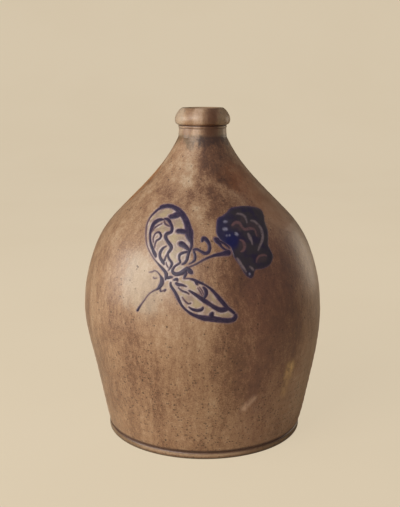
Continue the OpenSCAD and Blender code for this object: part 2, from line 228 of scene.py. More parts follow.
class JugColours(bpy.types.PropertyGroup):
    """Colours of the clay, the glaze and the cobalt."""

    clay: colour_of("Clay", "Salt-glazed clay where the kiln left it plain", 170, 133, 102)
    # Pale clay is also painted as a highlight along the foot band's middle.
    pale: colour_of("Pale clay", "Clay where the vapour lay thin", 204, 178, 150)
    brown: colour_of("Brown clay", "Clay where the vapour lay thick", 120, 82, 60)
    # Deep brown is also painted as shade along the handle's sides, in its flutes and at its root.
    deep: colour_of("Deep brown", "Stain at the neck and in the groove", 72, 48, 40)
    speck: colour_of("Iron speck", "Iron specks in the glaze", 52, 33, 26)
    blush: colour_of("Blush", "Orange blush from a touching pot", 186, 122, 68)
    ground: colour_of("Leaf ground", "Pale glaze between the leaf veins", 184, 167, 134)
    halo: colour_of("Halo", "Paler rim that the cobalt leaves beside itself", 222, 208, 206)
    cobalt: colour_of("Cobalt", "Thick cobalt", 44, 35, 62)
    cobalt_thin: colour_of("Thin cobalt", "Cobalt where the brush ran thin", 98, 76, 102)
    bloom: colour_of("Bloom", "Cobalt that boiled dark in the blossom", 56, 49, 58)
    slip: colour_of("Slip", "Brown slip inside", 70, 42, 26)
    bare: colour_of("Bare clay", "Unglazed clay under the base", 176, 146, 116)
    floor: colour_of("Floor", "Paper-pale floor and backdrop", 225, 209, 182)


class JugStage(bpy.types.PropertyGroup):
    """Camera, lamps and floor."""

    distance: length("Camera distance", "Distance of the camera in front of the jug's axis", jug_top * 2.6)
    height: length("Camera height", "Height of the camera above the floor", jug_top * 1.1)
    aside: length("Camera aside", "How far the camera stands to the left of the axis", jug_top * 0.0077)
    pitch: FloatProperty(
        name="Camera pitch",
        description="How far the camera looks down",
        default=math.radians(11.95),
        subtype="ANGLE",
    )
    lens: FloatProperty(name="Lens", description="Focal length on a 36 mm film", default=60.3, unit="CAMERA")
    key: power("Key lamp", "Power of the large lamp at the left", 25.5)
    side: power("Side lamp", "Power of the soft lamp at the far left", 7.2)
    front: power("Front lamp", "Power of the narrow front lamp", 1.3)
    rim: power("Rim lamp", "Power of the weak lamp behind at the right", 2.8)
    air: FloatProperty(name="Room light", description="Strength of the light from all around", default=0.18)


# Meshes


def marks(z, angle, weight):
    """How far the thrown surface stands out of the true one at heights and angles."""
    throwing = bpy.context.scene.jug_throwing
    turn = 2 * math.pi * z / throwing.ring_pitch
    rings = np.cos(turn - angle + 0.6 * np.sin(z * 37)) * (0.55 + 0.45 * np.sin(z * 23 + 1.0))
    rings = rings + 0.35 * np.cos(0.41 * turn + angle + 2.0)
    round_off = np.cos(2 * angle + 0.7) + 0.6 * np.cos(3 * angle - 14 * z)
    return weight * (throwing.ring_depth * rings + throwing.out_of_round * round_off)


def lean(z):
    """How far the axis is moved to the right at a height."""
    t = np.clip((belly_z + 12 * MM - z) / (belly_z * 0.55), 0, 1)
    foot = np.clip(z / (24 * MM), 0, 1)
    return bpy.context.scene.jug_throwing.lean * t * t * (3 - 2 * t) * (0.75 + 0.25 * foot)


def on_jug(z, angle, radius, weight, rise=0.0):
    """Points of the thrown surface, or above it, for heights, angles and radii."""
    r = radius + marks(z, angle, weight) + rise
    return np.stack([r * np.cos(angle) + lean(z), r * np.sin(angle), z + 0 * angle], axis=-1)


def wall_weight(z):
    """Share of the throwing marks that a height keeps: the foot, the spray and the neck are smoother."""
    return np.interp(
        z,
        [0, foot_top, 30 * MM, belly_z, belly_z + 30 * MM, collar_z - 40 * MM, collar_z, jug_top],
        [0.3, 0.5, 1.0, 0.8, 0.45, 0.4, 0.2, 0.12],
    )


def new_piece(name, points, faces, make, node, slot=None):
    """Piece of a clean mesh, facing outwards, that rides on the jug and replaces one node of the frame."""
    mesh = bpy.data.meshes.new(name)
    mesh.from_pydata([tuple(p) for p in points], [], faces)
    mesh.validate()
    if signed_volume(mesh) < 0:
        mesh.flip_normals()
    mesh.polygons.foreach_set("use_smooth", [True] * len(mesh.polygons))
    mesh.set_sharp_from_angle(angle=math.radians(42))
    mesh.materials.append(finish_named(make))
    piece = bpy.data.objects.new(name, mesh)
    bpy.context.scene.collection.objects.link(piece)
    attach(piece, "root")
    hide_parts(node)
    return piece


def signed_volume(mesh):
    """Volume inside a closed mesh, negative where its faces look inwards."""
    mesh.calc_loop_triangles()
    corners = np.empty(len(mesh.loop_triangles) * 3, int)
    mesh.loop_triangles.foreach_get("vertices", corners)
    places = np.empty(len(mesh.vertices) * 3)
    mesh.vertices.foreach_get("co", places)
    a, b, c = places.reshape(-1, 3)[corners.reshape(-1, 3)].transpose(1, 0, 2)
    return float((a * np.cross(b, c)).sum() / 6)


def add_values(piece, **values):
    """Gives each point of a piece's mesh its own named numbers."""
    for name, numbers in values.items():
        layer = piece.data.attributes.new(name, "FLOAT", "POINT")
        layer.data.foreach_set("value", np.asarray(numbers, np.float32))


def capped(numbers, ends=(0.0, 0.0)):
    """Numbers of a loft's rings, followed by those of its two end points."""
    return np.concatenate([np.ravel(numbers), ends])


def ring_faces(rows, count, whole=True):
    """Faces between rows of points that each go right round, and from the last row to the first."""
    faces = []
    for i in range(rows if whole else rows - 1):
        a, b = i * count, ((i + 1) % rows) * count
        faces += [(a + k, a + (k + 1) % count, b + (k + 1) % count, b + k) for k in range(count)]
    return faces


def lofted(rings):
    """Points and faces of a closed solid through rings of points."""
    rows, count = rings.shape[:2]
    points = np.vstack([rings.reshape(-1, 3), rings[0].mean(axis=0), rings[-1].mean(axis=0)])
    faces = ring_faces(rows, count, whole=False)
    first, final = rows * count, rows * count + 1
    start = (rows - 1) * count
    faces += [(first, (k + 1) % count, k) for k in range(count)]
    faces += [(final, start + k, start + (k + 1) % count) for k in range(count)]
    return points, faces


def turned_piece(name, node, outside, inside, angles):
    """A closed ring of clay turned round the axis, with the throwing marks on its outside alone."""
    outer = np.column_stack([outside, wall_weight(outside[:, 0])])
    inner = np.column_stack([inside[::-1], np.zeros(len(inside))])
    z, r, weight = np.vstack([outer, inner]).T[:, :, None]
    points = on_jug(z, angles[None, :], r, weight).reshape(-1, 3)
    return new_piece(name, points, ring_faces(len(z), len(angles)), salt_glaze, node)


def even_angles(count):
    """Angles that share the jug's round evenly."""
    return np.arange(count) * 2 * math.pi / count


def front_angles():
    """Angles round the jug, close together where the spray is."""
    front = np.radians(np.arange(-42, 42, 0.46)) - math.pi / 2
    rest = np.linspace(front[-1] + 0.008, front[0] + 2 * math.pi - 0.008, 190)
    return np.concatenate([front, rest])


def fade(value, low, high):
    """Smooth step from 0 at low to 1 at high."""
    t = np.clip((value - low) / (high - low), 0, 1)
    return t * t * (3 - 2 * t)


# The spray: each stroke's points are [across, up, width] in thousandths of its drawing unit


def thousandths(*strokes):
    """Strokes as shares of the drawing unit."""
    return [np.array(stroke) / 1000 for stroke in strokes]


UPPER_LEAF_SHARES = thousandths(
    # Left edge
    [[-92, 681, 22], [-144, 636, 20], [-187, 588, 16], [-216, 526, 13], [-226, 449, 12], [-223, 373, 11],
     [-207, 301, 10], [-176, 234, 10], [-140, 177, 12], [-92, 120, 18], [-49, 72, 30], [-15, 27, 34],
     [-15, -10, 30], [-23, -43, 14]],
    # Right edge
    [[-96, 669, 18], [-73, 690, 44], [-25, 702, 44], [28, 698, 46], [80, 674, 54], [123, 636, 60],
     [159, 588, 60], [185, 535, 60], [200, 483, 70], [209, 430, 84], [218, 382, 70], [233, 335, 34],
     [233, 287, 26], [212, 249, 30], [200, 206, 28], [191, 163, 28], [168, 129, 26], [138, 113, 16]],
    # Loop at the lower end
    [[195, 243, 22], [152, 231, 28], [119, 212, 26], [114, 172, 24], [124, 136, 22], [99, 115, 20],
     [67, 91, 22], [48, 48, 28], [80, 17, 36], [133, 27, 44], [176, 59, 48], [200, 90, 26]],
    # Veins
    [[-42, 564, 14], [-92, 561, 36], [-141, 531, 42], [-170, 478, 30], [-182, 421, 24], [-180, 363, 22],
     [-168, 311, 28], [-147, 258, 30], [-126, 212, 34], [-119, 184, 14]],
    [[-46, 572, 16], [-6, 564, 34], [25, 521, 32], [40, 473, 32], [28, 438, 32], [-13, 421, 34],
     [-23, 387, 36], [-1, 344, 36], [33, 296, 36], [28, 263, 30], [2, 225, 24], [11, 177, 24],
     [42, 129, 26], [34, 96, 24], [8, 53, 14]],
    # Drops on the right edge
    [[6, 595, 50], [42, 593, 54], [90, 612, 64], [123, 626, 40]],
    [[82, 445, 48], [128, 446, 50], [171, 438, 50], [205, 430, 40]],
    [[107, 325, 52], [142, 315, 60], [181, 287, 44], [209, 258, 24]],
    # Curls and fine lines between the veins
    [[-147, 335, 12], [-149, 382, 14], [-128, 425, 16], [-94, 438, 20], [-71, 409, 22], [-80, 375, 20],
     [-115, 354, 18], [-130, 315, 16], [-134, 277, 10]],
    [[-161, 445, 10], [-140, 480, 14], [-97, 509, 14], [-61, 526, 10]],
    [[-11, 301, 12], [-49, 277, 24], [-75, 234, 28], [-75, 186, 30], [-49, 143, 34], [-33, 110, 14]],
    [[8, 243, 12], [-20, 191, 18], [-34, 148, 22]],
    [[-42, 558, 10], [-34, 526, 16], [-1, 502, 16], [28, 492, 10]],
    [[-16, 140, 10], [-6, 105, 14], [8, 80, 10]],
)
LOWER_LEAF_SHARES = thousandths(
    # Left edge
    [[31, -59, 18], [34, -100, 24], [66, -148, 28], [92, -196, 34], [114, -244, 28], [142, -296, 22],
     [181, -339, 22], [233, -378, 30], [291, -403, 42], [358, -421, 56], [434, -428, 62], [511, -440, 56],
     [587, -447, 50], [640, -438, 48], [665, -409, 44], [659, -378, 34]],
    # Right edge
    [[159, -27, 14], [214, -27, 18], [257, -40, 26], [295, -59, 32], [334, -75, 22], [377, -98, 20],
     [424, -132, 26], [467, -177, 34], [506, -225, 44], [544, -270, 44], [582, -314, 38], [625, -349, 32],
     [659, -378, 30]],
    # Midrib
    [[207, -143, 14], [248, -170, 26], [295, -201, 36], [348, -239, 44], [405, -277, 44], [463, -315, 44],
     [520, -339, 56], [573, -333, 44], [592, -317, 20]],
    # Veins and teeth
    [[78, -69, 22], [104, -86, 36], [142, -91, 26], [190, -110, 12]],
    [[104, -115, 14], [142, -148, 18], [190, -167, 18], [214, -186, 10]],
    [[346, -110, 18], [372, -139, 36], [379, -177, 38], [362, -215, 30], [343, -239, 14]],
    [[295, -120, 9], [324, -167, 13], [343, -206, 9]],
    [[312, -112, 9], [338, -150, 12], [353, -191, 9]],
    [[206, -308, 14], [243, -333, 26], [291, -344, 30], [334, -335, 36], [350, -308, 16]],
    [[145, -210, 10], [171, -249, 14], [205, -277, 16], [233, -270, 12]],
    [[446, -361, 22], [432, -384, 48], [426, -413, 60]],
    [[270, -50, 22], [285, -76, 26], [297, -94, 12]],
)
STEM_SHARES = thousandths(
    [[199, 86, 16], [233, 96, 16], [291, 124, 17], [348, 158, 19], [405, 185, 22], [463, 206, 28],
     [520, 217, 38], [568, 228, 54], [620, 239, 64]],
    [[191, 80, 36], [216, 53, 46], [245, 21, 36]],
    [[187, 38, 34], [172, 0, 28], [159, -31, 14]],
    [[-8, -27, 22], [23, -14, 30], [54, -12, 14]],
    [[56, -43, 18], [92, -33, 28], [99, -57, 14]],
)
TENDRIL_SHARES = thousandths(
    [[248, 260, 26], [286, 266, 26], [324, 247, 26], [367, 225, 32], [401, 239, 34], [413, 279, 32],
     [405, 323, 34], [381, 359, 42], [353, 373, 46], [334, 339, 18]],
    [[256, 247, 22], [270, 206, 28], [268, 163, 26], [243, 136, 20], [207, 117, 14]],
)
BUD_SHARES = thousandths(
    [[459, 375, 34], [482, 359, 54], [506, 330, 42], [530, 292, 24], [563, 266, 22], [592, 256, 16]],
    [[500, 346, 28], [544, 330, 22], [582, 304, 22], [611, 272, 16]],
)
TAIL_SPRIG_SHARES = thousandths(
    [[-183, 38, 9], [-154, 40, 11], [-128, 53, 10], [-99, 38, 12], [-73, 5, 18], [-55, -33, 36],
     [-57, -72, 48], [-75, -105, 38], [-99, -132, 22], [-135, -148, 13], [-187, -186, 10],
     [-230, -244, 11], [-269, -296, 16], [-307, -359, 26]],
    [[-71, -124, 14], [-68, -153, 20], [-42, -148, 12], [-20, -139, 22], [-36, -161, 10]],
    [[-141, -10, 8], [-135, -24, 10], [-103, -21, 9]],
)
BLOSSOM_SHARES = thousandths(
    [[478, 474], [492, 568], [544, 602], [592, 640], [634, 682], [749, 703], [854, 697], [938, 672],
     [972, 618], [980, 540], [1005, 458], [1006, 382], [1002, 310], [1032, 248], [1050, 190], [1017, 114],
     [940, 74], [864, 62], [845, 1], [816, -22], [768, 9], [711, 104], [653, 190], [636, 250], [616, 294],
     [564, 330], [508, 370], [481, 424]],
)[0]
BLOSSOM_MIDDLE_SHARE = (0.780, 0.360)
# Marks where the cobalt lies thin: bluish dots as painted glints, greyish and pinkish lines of the petals
GLINT_DOT_SHARES = thousandths(
    [[554, 543, 24], [587, 543, 20]],
    [[547, 467, 34], [587, 470, 30]],
    [[580, 397, 18], [585, 409, 16]],
    [[608, 402, 16], [612, 413, 14]],
    [[668, 430, 30], [690, 411, 30]],
    [[802, 27, 22], [805, 13, 20]],
)
GREY_PETAL_SHARES = thousandths(
    [[683, 625, 14], [730, 620, 18], [764, 600, 18], [780, 574, 16], [790, 533, 10]],
    [[828, 556, 10], [869, 547, 20], [898, 521, 20], [929, 483, 22], [941, 440, 26], [946, 392, 26],
     [933, 344, 24], [912, 301, 18], [893, 258, 10]],
    [[795, 430, 14], [812, 392, 30], [828, 354, 22], [837, 317, 8]],
    [[681, 180, 16], [697, 155, 24], [721, 117, 22], [748, 78, 20], [771, 40, 12]],
    [[805, 98, 10], [831, 75, 22], [847, 55, 10]],
)
PINK_PETAL_SHARES = thousandths(
    [[637, 505, 18], [668, 535, 28], [711, 531, 26], [735, 495, 22], [764, 467, 26], [812, 476, 30],
     [855, 470, 20], [876, 435, 14], [885, 400, 8]],
    [[712, 362, 18], [742, 346, 26], [758, 300, 28], [744, 258, 24], [716, 246, 12]],
    [[874, 136, 10], [880, 170, 16], [907, 203, 20], [960, 212, 20], [984, 199, 8]],
)
# Brownish petals between the lines
SOFT_PETAL_SHARES = thousandths(
    [[640, 500, 30], [680, 505, 56], [725, 470, 36]],
    [[722, 345, 40], [736, 300, 50], [720, 262, 30]],
    [[790, 515, 26], [850, 515, 44], [895, 462, 36], [905, 400, 20]],
    [[740, 590, 24], [752, 555, 36], [730, 555, 24]],
    [[888, 140, 26], [925, 172, 50], [968, 170, 26]],
)


def to_wall(u, v, rise):
    """Points on the wall for points of the drawing, raised by the given height."""
    spray = bpy.context.scene.jug_spray
    x = np.asarray(u) * spray.unit_width - spray.hub_left
    sag = spray.side_sag * (x / spray.unit_width) ** 2
    z = spray.hub_height + v * spray.unit_height * (1 - LEAN_SHARE * v) - sag
    r = jug_radius(z)
    return on_jug(z, np.arctan2(-np.sqrt(r * r - x * x), x), r, wall_weight(z), rise)


def to_drawing(x, z):
    """Point of the drawing for a place on the front of the wall."""
    spray = bpy.context.scene.jug_spray
    c = (z - spray.hub_height + spray.side_sag * (x / spray.unit_width) ** 2) / spray.unit_height
    v = (1 - np.sqrt(np.maximum(1 - 4 * LEAN_SHARE * c, 0))) / (2 * LEAN_SHARE)
    return (x + spray.hub_left) / spray.unit_width, v


def stroke_line(shares, step):
    """Middle line of a stroke as [across, up, width], its length so far, and how full its round ends are."""
    line = spline(shares, step)
    reach = np.concatenate([[0], np.cumsum(np.linalg.norm(np.diff(line[:, :2], axis=0), axis=1))])
    ends = np.maximum(line[[0, -1], 2] / 2, 1e-6)
    caps = np.array([0.0, 0.04, 0.14, 0.3, 0.52, 0.78, 1.0])
    start, final = caps * ends[0], reach[-1] - caps * ends[1]
    middle = reach[(reach > start[-1] + 0.3 * step) & (reach < final[-1] - 0.3 * step)]
    run = np.sort(np.concatenate([start, middle, final]))
    line = np.column_stack([np.interp(run, reach, line[:, k]) for k in range(3)])
    cap = np.clip(np.minimum(run / ends[0], (reach[-1] - run) / ends[1]), 0, 1)
    return line, run, np.sqrt(np.clip(1 - (1 - cap) ** 2, 0.01, 1))


def distance_to(u, v, strokes):
    """Least distance from drawing points to the edges of strokes, below zero inside a stroke."""
    best = np.full(np.shape(u), 9.0)
    for stroke in strokes:
        line, _, cap = stroke_line(stroke, EDGE_STEP)
        line[:, 2] *= cap
        for a, b in zip(line[:-1], line[1:]):
            along = b[:2] - a[:2]
            t = ((u - a[0]) * along[0] + (v - a[1]) * along[1]) / max(along @ along, 1e-9)
            t = np.clip(t, 0, 1)
            gap = np.hypot(u - a[0] - t * along[0], v - a[1] - t * along[1])
            best = np.minimum(best, gap - (a[2] + (b[2] - a[2]) * t) / 2)
    return best


def inside_of(u, v, outline):
    """Whether drawing points lie inside a closed outline."""
    inside = np.zeros(np.shape(u), bool)
    for a, b in zip(outline, np.roll(outline, -1, axis=0)):
        crosses = (a[1] > v) != (b[1] > v)
        if abs(b[1] - a[1]) > 1e-9:
            inside ^= crosses & (u < a[0] + (v - a[1]) * (b[0] - a[0]) / (b[1] - a[1]))
    return inside


def brush_stroke(shares, seed):
    """Closed ribbon of brushed cobalt: its points, its faces and the brush's own places on it."""
    line, run, cap = stroke_line(shares, STROKE_STEP)
    tangent = np.gradient(line[:, :2], axis=0)
    tangent /= np.maximum(np.linalg.norm(tangent, axis=1), 1e-9)[:, None]
    thin = 1 - np.clip((line[:, 2] - 0.009) / 0.013, 0, 1)
    wobble = [noise.noise(Vector((s * 26, seed * 3.1, 0.5))) for s in run]
    half = line[:, 2] / 2 * cap * (1 + 0.16 * np.array(wobble))
    # The section is a low dome on top and two straight sides that go down into the clay
    across = np.array([-1, -0.86, -0.6, -0.3, 0, 0.3, 0.6, 0.86, 1])
    sides = np.array([1, 0.4, -0.4, -1])
    place = np.concatenate([across, sides])
    dome = np.sqrt(np.clip(1 - across**2, 0, 1)) ** 0.8
    full = np.clip(half / 0.009, 0.45, 1)[:, None]
    top = dome[None, :] * bpy.context.scene.jug_spray.ink_depth * full - INK_SINK
    rise = np.hstack([top, np.full((len(line), len(sides)), -STROKE_ROOT)])
    u = line[:, 0][:, None] + tangent[:, 1][:, None] * half[:, None] * place[None, :]
    v = line[:, 1][:, None] - tangent[:, 0][:, None] * half[:, None] * place[None, :]
    points = to_wall(u, v, rise).reshape(-1, 3)
    count = len(place)
    faces = ring_faces(len(line), count, whole=False)
    faces.append(tuple(range(count)))
    faces.append(tuple(range(len(points) - 1, len(points) - 1 - count, -1)))
    values = {
        "brush_across": np.tile(np.abs(place), len(line)),
        "brush_along": np.repeat(run, count),
        "brush_side": np.tile(place, len(line)) * 0.5 + seed * 2.0,
        "brush_thin": np.repeat(thin, count),
    }
    return points, faces, values


def brushed_piece(name, strokes, node, seed):
    """All strokes of one node as one piece."""
    points, faces, values = [], [], {}
    for number, shares in enumerate(strokes):
        stroke_points, stroke_faces, stroke_values = brush_stroke(shares, seed + number)
        start = sum(len(p) for p in points)
        points.append(stroke_points)
        faces += [tuple(i + start for i in face) for face in stroke_faces]
        for key, numbers in stroke_values.items():
            values.setdefault(key, []).append(numbers)
    piece = new_piece(name, np.vstack(points), faces, cobalt_glaze, node)
    add_values(piece, **{key: np.concatenate(numbers) for key, numbers in values.items()})


# The handle: stations as shares, as [span, bow, thickness, width] and for the tail [height, thickness, width]

STRAP_SHARES = [
    [0.00, -0.11, 1.66, 1.10], [0.06, 0.14, 1.50, 1.10], [0.10, 0.40, 1.18, 1.05], [0.17, 0.66, 1.03, 1.02],
    [0.26, 0.83, 1.00, 1.00], [0.36, 0.94, 1.01, 1.00], [0.47, 1.00, 1.03, 0.98], [0.58, 0.99, 1.05, 0.98],
    [0.69, 0.90, 1.02, 0.97], [0.79, 0.75, 0.97, 0.96], [0.86, 0.55, 0.91, 0.95], [0.91, 0.32, 0.85, 0.95],
    [0.96, 0.18, 0.76, 0.96],
]
TAIL_SHARES = [
    [0.08, 0.70, 0.98], [0.32, 0.66, 1.00], [0.58, 0.62, 0.98], [0.80, 0.54, 0.86], [0.93, 0.40, 0.64],
    [1.00, 0.20, 0.36],
]
# Section of the strap, as shares of half its width and half its thickness
SECTION_SHARES = [
    [-1.00, 0.10], [-0.97, 0.45], [-0.88, 0.76], [-0.72, 0.95], [-0.52, 1.00], [-0.30, 1.02], [0.00, 1.04],
    [0.30, 1.02], [0.52, 1.00], [0.72, 0.95], [0.88, 0.76], [0.97, 0.45], [1.00, 0.10], [0.95, -0.42],
    [0.76, -0.80], [0.42, -0.97], [0.00, -1.00], [-0.42, -0.97], [-0.76, -0.80], [-0.95, -0.42],
]
# Flutes on the outer face: place across, width and depth as shares
FLUTE_SHARES = [[-0.40, 0.13, 1.0], [0.38, 0.12, 0.9], [0.02, 0.08, 0.25]]
# Stations of the line that each node of the handle takes, and those that the blue wash covers
HANDLE_SPANS = {"root": (0, 2), "strap": (2, 12), "tail": (12, 18)}
WASH_SPAN = (13.2, 16.6)


def handle_line():
    """Middle line of the handle: out from the axis, height, thickness, width and station."""
    handle = bpy.context.scene.jug_handle
    root = np.array([neck_r, jug_top - handle.root_drop])
    land_z = jug_top - handle.land_drop
    land = np.array([float(jug_radius(land_z)), land_z])
    span = land - root
    outward = np.array([-span[1], span[0]]) / np.linalg.norm(span)
    stations = []
    for along, out, thick, wide in STRAP_SHARES:
        place = root + span * along + outward * handle.bow * out
        stations.append([*place, handle.thickness * thick, handle.width * wide])
    # The root's flat end lies inside the neck, out of sight at both edges of the strap
    stations[0][0] = math.sqrt(neck_r**2 - (stations[0][3] / 2) ** 2) - PRESSED_IN
    for down, thick, wide in TAIL_SHARES:
        z = land_z - handle.tail * down
        half = handle.thickness * thick / 2
        place = np.array([float(jug_radius(z)), z]) + outward * (half - PRESSED_IN)
        stations.append([*place, 2 * half, handle.width * wide])
    return spline(np.column_stack([stations, np.arange(len(stations))]), HANDLE_STEP)


def taken(line, span):
    """Which points of the handle's line lie between two stations."""
    return (line[:, 4] >= span[0] - 1e-6) & (line[:, 4] <= span[1] + 1e-6)


def flutes_at(across, outer, station, spread=1.0):
    """Depth of the flutes as a share, for places of the section. They waver and run out at both ends."""
    waver = 0.03 * np.sin(station * 1.3)
    depth = sum(
        deep * np.exp(-(((across - at + waver) / (wide * spread)) ** 2)) for at, wide, deep in FLUTE_SHARES
    )
    return depth * (outer > 0.5) * np.interp(station, [0.6, 2.4, 13, 16.5], [0.25, 1, 1, 0.2])


def handle_points(line, coat=0.0):
    """Rings of the handle's points along its line, and the section's own places."""
    handle = bpy.context.scene.jug_handle
    section = spline(closed(SECTION_SHARES), 0.09)[:-1]
    tangent = np.gradient(line[:, :2], axis=0)
    tangent /= np.linalg.norm(tangent, axis=1)[:, None]
    rings = []
    for (out, height, thick, wide, station), (along_out, along_up) in zip(line, tangent):
        flutes = flutes_at(section[:, 0], section[:, 1], station) * handle.flute_depth
        uneven = [noise.noise(Vector((s[0] * 2.2, s[1] * 2.2, station * 0.9))) for s in section]
        pull = 0.25 * MM * np.array(uneven)
        rise = section[:, 1] * (thick / 2 + coat) - flutes + pull
        x = section[:, 0] * (wide / 2 + coat) + pull
        rings.append(np.column_stack([x, out - along_up * rise, height + along_out * rise]))
    return np.array(rings), section


def seated(rings, lift):
    """Rings of points with those inside the jug moved out on to its surface."""
    moved = rings.copy()
    x, y, z = np.moveaxis(rings, -1, 0)
    surface = jug_radius(z) + marks(z, np.arctan2(y, x), wall_weight(z)) + lift
    depth = np.sqrt(np.maximum(surface**2 - x**2, 0))
    moved[..., 1] = np.where(np.hypot(x, y) < surface, depth, y)
    return moved


# Materials


class Number:
    """A number that a material's nodes work out. Signs between numbers add the nodes for them."""

    def __init__(self, finish, socket):
        self.finish = finish
        self.socket = socket

    def __add__(self, other):
        return self.finish.calc("ADD", self, other)

    def __radd__(self, other):
        return self.finish.calc("ADD", other, self)

    def __sub__(self, other):
        return self.finish.calc("SUBTRACT", self, other)

    def __rsub__(self, other):
        return self.finish.calc("SUBTRACT", other, self)

    def __mul__(self, other):
        return self.finish.calc("MULTIPLY", self, other)

    def __abs__(self):
        return self.finish.calc("ABSOLUTE", self)


class Finish:
    """One material, built node by node."""

    def __init__(self, name, roughness=0.4, coat=0.0, coat_roughness=0.15, specular=0.5):
        self.colours = bpy.context.scene.jug_colours
        self.material = bpy.data.materials.new(name)
        self.material.use_nodes = True
        self.tree = self.material.node_tree
        self.shader = self.tree.nodes["Principled BSDF"]
        self.shader.inputs["Roughness"].default_value = roughness
        self.shader.inputs["Coat Weight"].default_value = coat
        self.shader.inputs["Coat Roughness"].default_value = coat_roughness
        self.shader.inputs["Specular IOR Level"].default_value = specular
        self.shader.inputs["IOR"].default_value = 1.5
        self.place = self.node("ShaderNodeTexCoord", {}).outputs["Object"]

    def feed(self, socket, value):
        """Links a socket to another, or sets its value."""
        if isinstance(value, Number):
            value = value.socket
        if isinstance(value, bpy.types.NodeSocket):
            self.tree.links.new(value, socket)
        elif hasattr(value, "__len__"):
            value = tuple(value)
            socket.default_value = value if len(value) == len(socket.default_value) else value + (1.0,)
        else:
            socket.default_value = value

    def node(self, kind, inputs, **settings):
        """New node with its settings, then values or links for the inputs that are named or numbered."""
        made = self.tree.nodes.new(kind)
        for key, value in settings.items():
            setattr(made, key, value)
        for key, value in inputs.items():
            self.feed(made.inputs[key], value)
        return made

    def number(self, kind, output, inputs, **settings):
        """A number from a new node's output."""
        return Number(self, self.node(kind, inputs, **settings).outputs[output])

    def calc(self, operation, *values, clamp=False):
        """A number worked out from others, clamped from 0 to 1 where that is asked."""
        return self.number("ShaderNodeMath", 0, dict(enumerate(values)), operation=operation, use_clamp=clamp)

    def step(self, value, low, high):
        """0 under low, 1 over high and smooth between them."""
        inputs = {"Value": value, "From Min": low, "From Max": high}
        return self.number("ShaderNodeMapRange", 0, inputs, interpolation_type="SMOOTHSTEP")

    def band(self, value, rise, full, fall, end):
        """1 between full and fall, 0 outside rise and end, and smooth between them."""
        return self.step(value, rise, full) * self.step(value, end, fall)

    def mix(self, share, under, over):
        """One colour laid over another, at a share."""
        return self.node("ShaderNodeMix", {0: share, 6: under, 7: over}, data_type="RGBA").outputs[2]

    def ramp(self, value, *stops):
        """Colour for a value, through stops of place and colour."""
        made = self.node("ShaderNodeValToRGB", {0: value})
        scale = made.color_ramp.elements
        while len(scale) < len(stops):
            scale.new(1.0)
        for element, (place, colour) in zip(scale, stops):
            element.position = place
            element.color = (*colour, 1.0)
        return made.outputs[0]

    def blend(self, *parts):
        """0.5 and the given shares of clouds, each taken from its own middle."""
        return sum(((cloud - 0.5) * share for share, cloud in parts), 0.5)

    def stretched(self, height, shift):
        """The object's own coordinates, with the height scaled and all of them shifted."""
        shifts = (shift, shift * 0.7, shift * 0.4)
        inputs = {"Vector": self.place, "Scale": (1, 1, height), "Location": shifts}
        return self.node("ShaderNodeMapping", inputs).outputs[0]

    def cloud(self, scale, detail, rough, vector=None):
        """Soft noise round 0.5."""
        vector = self.place if vector is None else vector
        inputs = {"Vector": vector, "Scale": scale, "Detail": detail, "Roughness": rough}
        return self.number("ShaderNodeTexNoise", 0, inputs)

    def cells(self, scale):
        """Distance to the nearest of scattered points, and three random numbers for each of them."""
        made = self.node("ShaderNodeTexVoronoi", {"Vector": self.place, "Scale": scale})
        chances = self.node("ShaderNodeSeparateColor", {0: made.outputs["Color"]}).outputs
        return Number(self, made.outputs["Distance"]), [Number(self, chance) for chance in chances]

    def value(self, name):
        """A number that the mesh carries for each point."""
        return self.number("ShaderNodeAttribute", "Fac", {}, attribute_name=name)

    def axes(self):
        """The object's own x, y and z."""
        return [Number(self, axis) for axis in self.node("ShaderNodeSeparateXYZ", {0: self.place}).outputs]

    def vector(self, operation, first, second):
        """Outputs of a sum with two vectors."""
        return self.node("ShaderNodeVectorMath", {0: first, 1: second}, operation=operation).outputs

    def gap_to(self, *places):
        """Distance to a place, or to the straight line between two places."""
        if len(places) == 1:
            return Number(self, self.vector("DISTANCE", self.place, places[0])["Value"])
        start = Vector(places[0])
        along = Vector(places[1]) - start
        way = self.vector("SUBTRACT", self.place, start)[0]
        done = self.vector("DOT_PRODUCT", way, along / along.length_squared)["Value"]
        done = self.calc("ADD", done, 0.0, clamp=True)
        foot = self.node("ShaderNodeVectorMath", {0: along, "Scale": done}, operation="SCALE").outputs[0]
        return Number(self, self.vector("DISTANCE", way, foot)["Value"])

    def patch(self, ragged, reach, full, *places):
        """1 near a place or a line and 0 beyond its reach, with a ragged edge."""
        return self.step(self.gap_to(*places) + ragged, reach, full)

    def bump(self, height, depth):
        """Normal of a surface with a relief."""
        return self.node("ShaderNodeBump", {"Strength": 1.0, "Distance": depth, "Height": height}).outputs[0]

    def done(self, colour, roughness=None, normal=None):
        """The material, with all that its shader takes from nodes."""
        linked = {"Base Color": colour, "Roughness": roughness, "Normal": normal, "Coat Normal": normal}
        for key, value in linked.items():
            if value is not None:
                self.feed(self.shader.inputs[key], value)
        return self.material


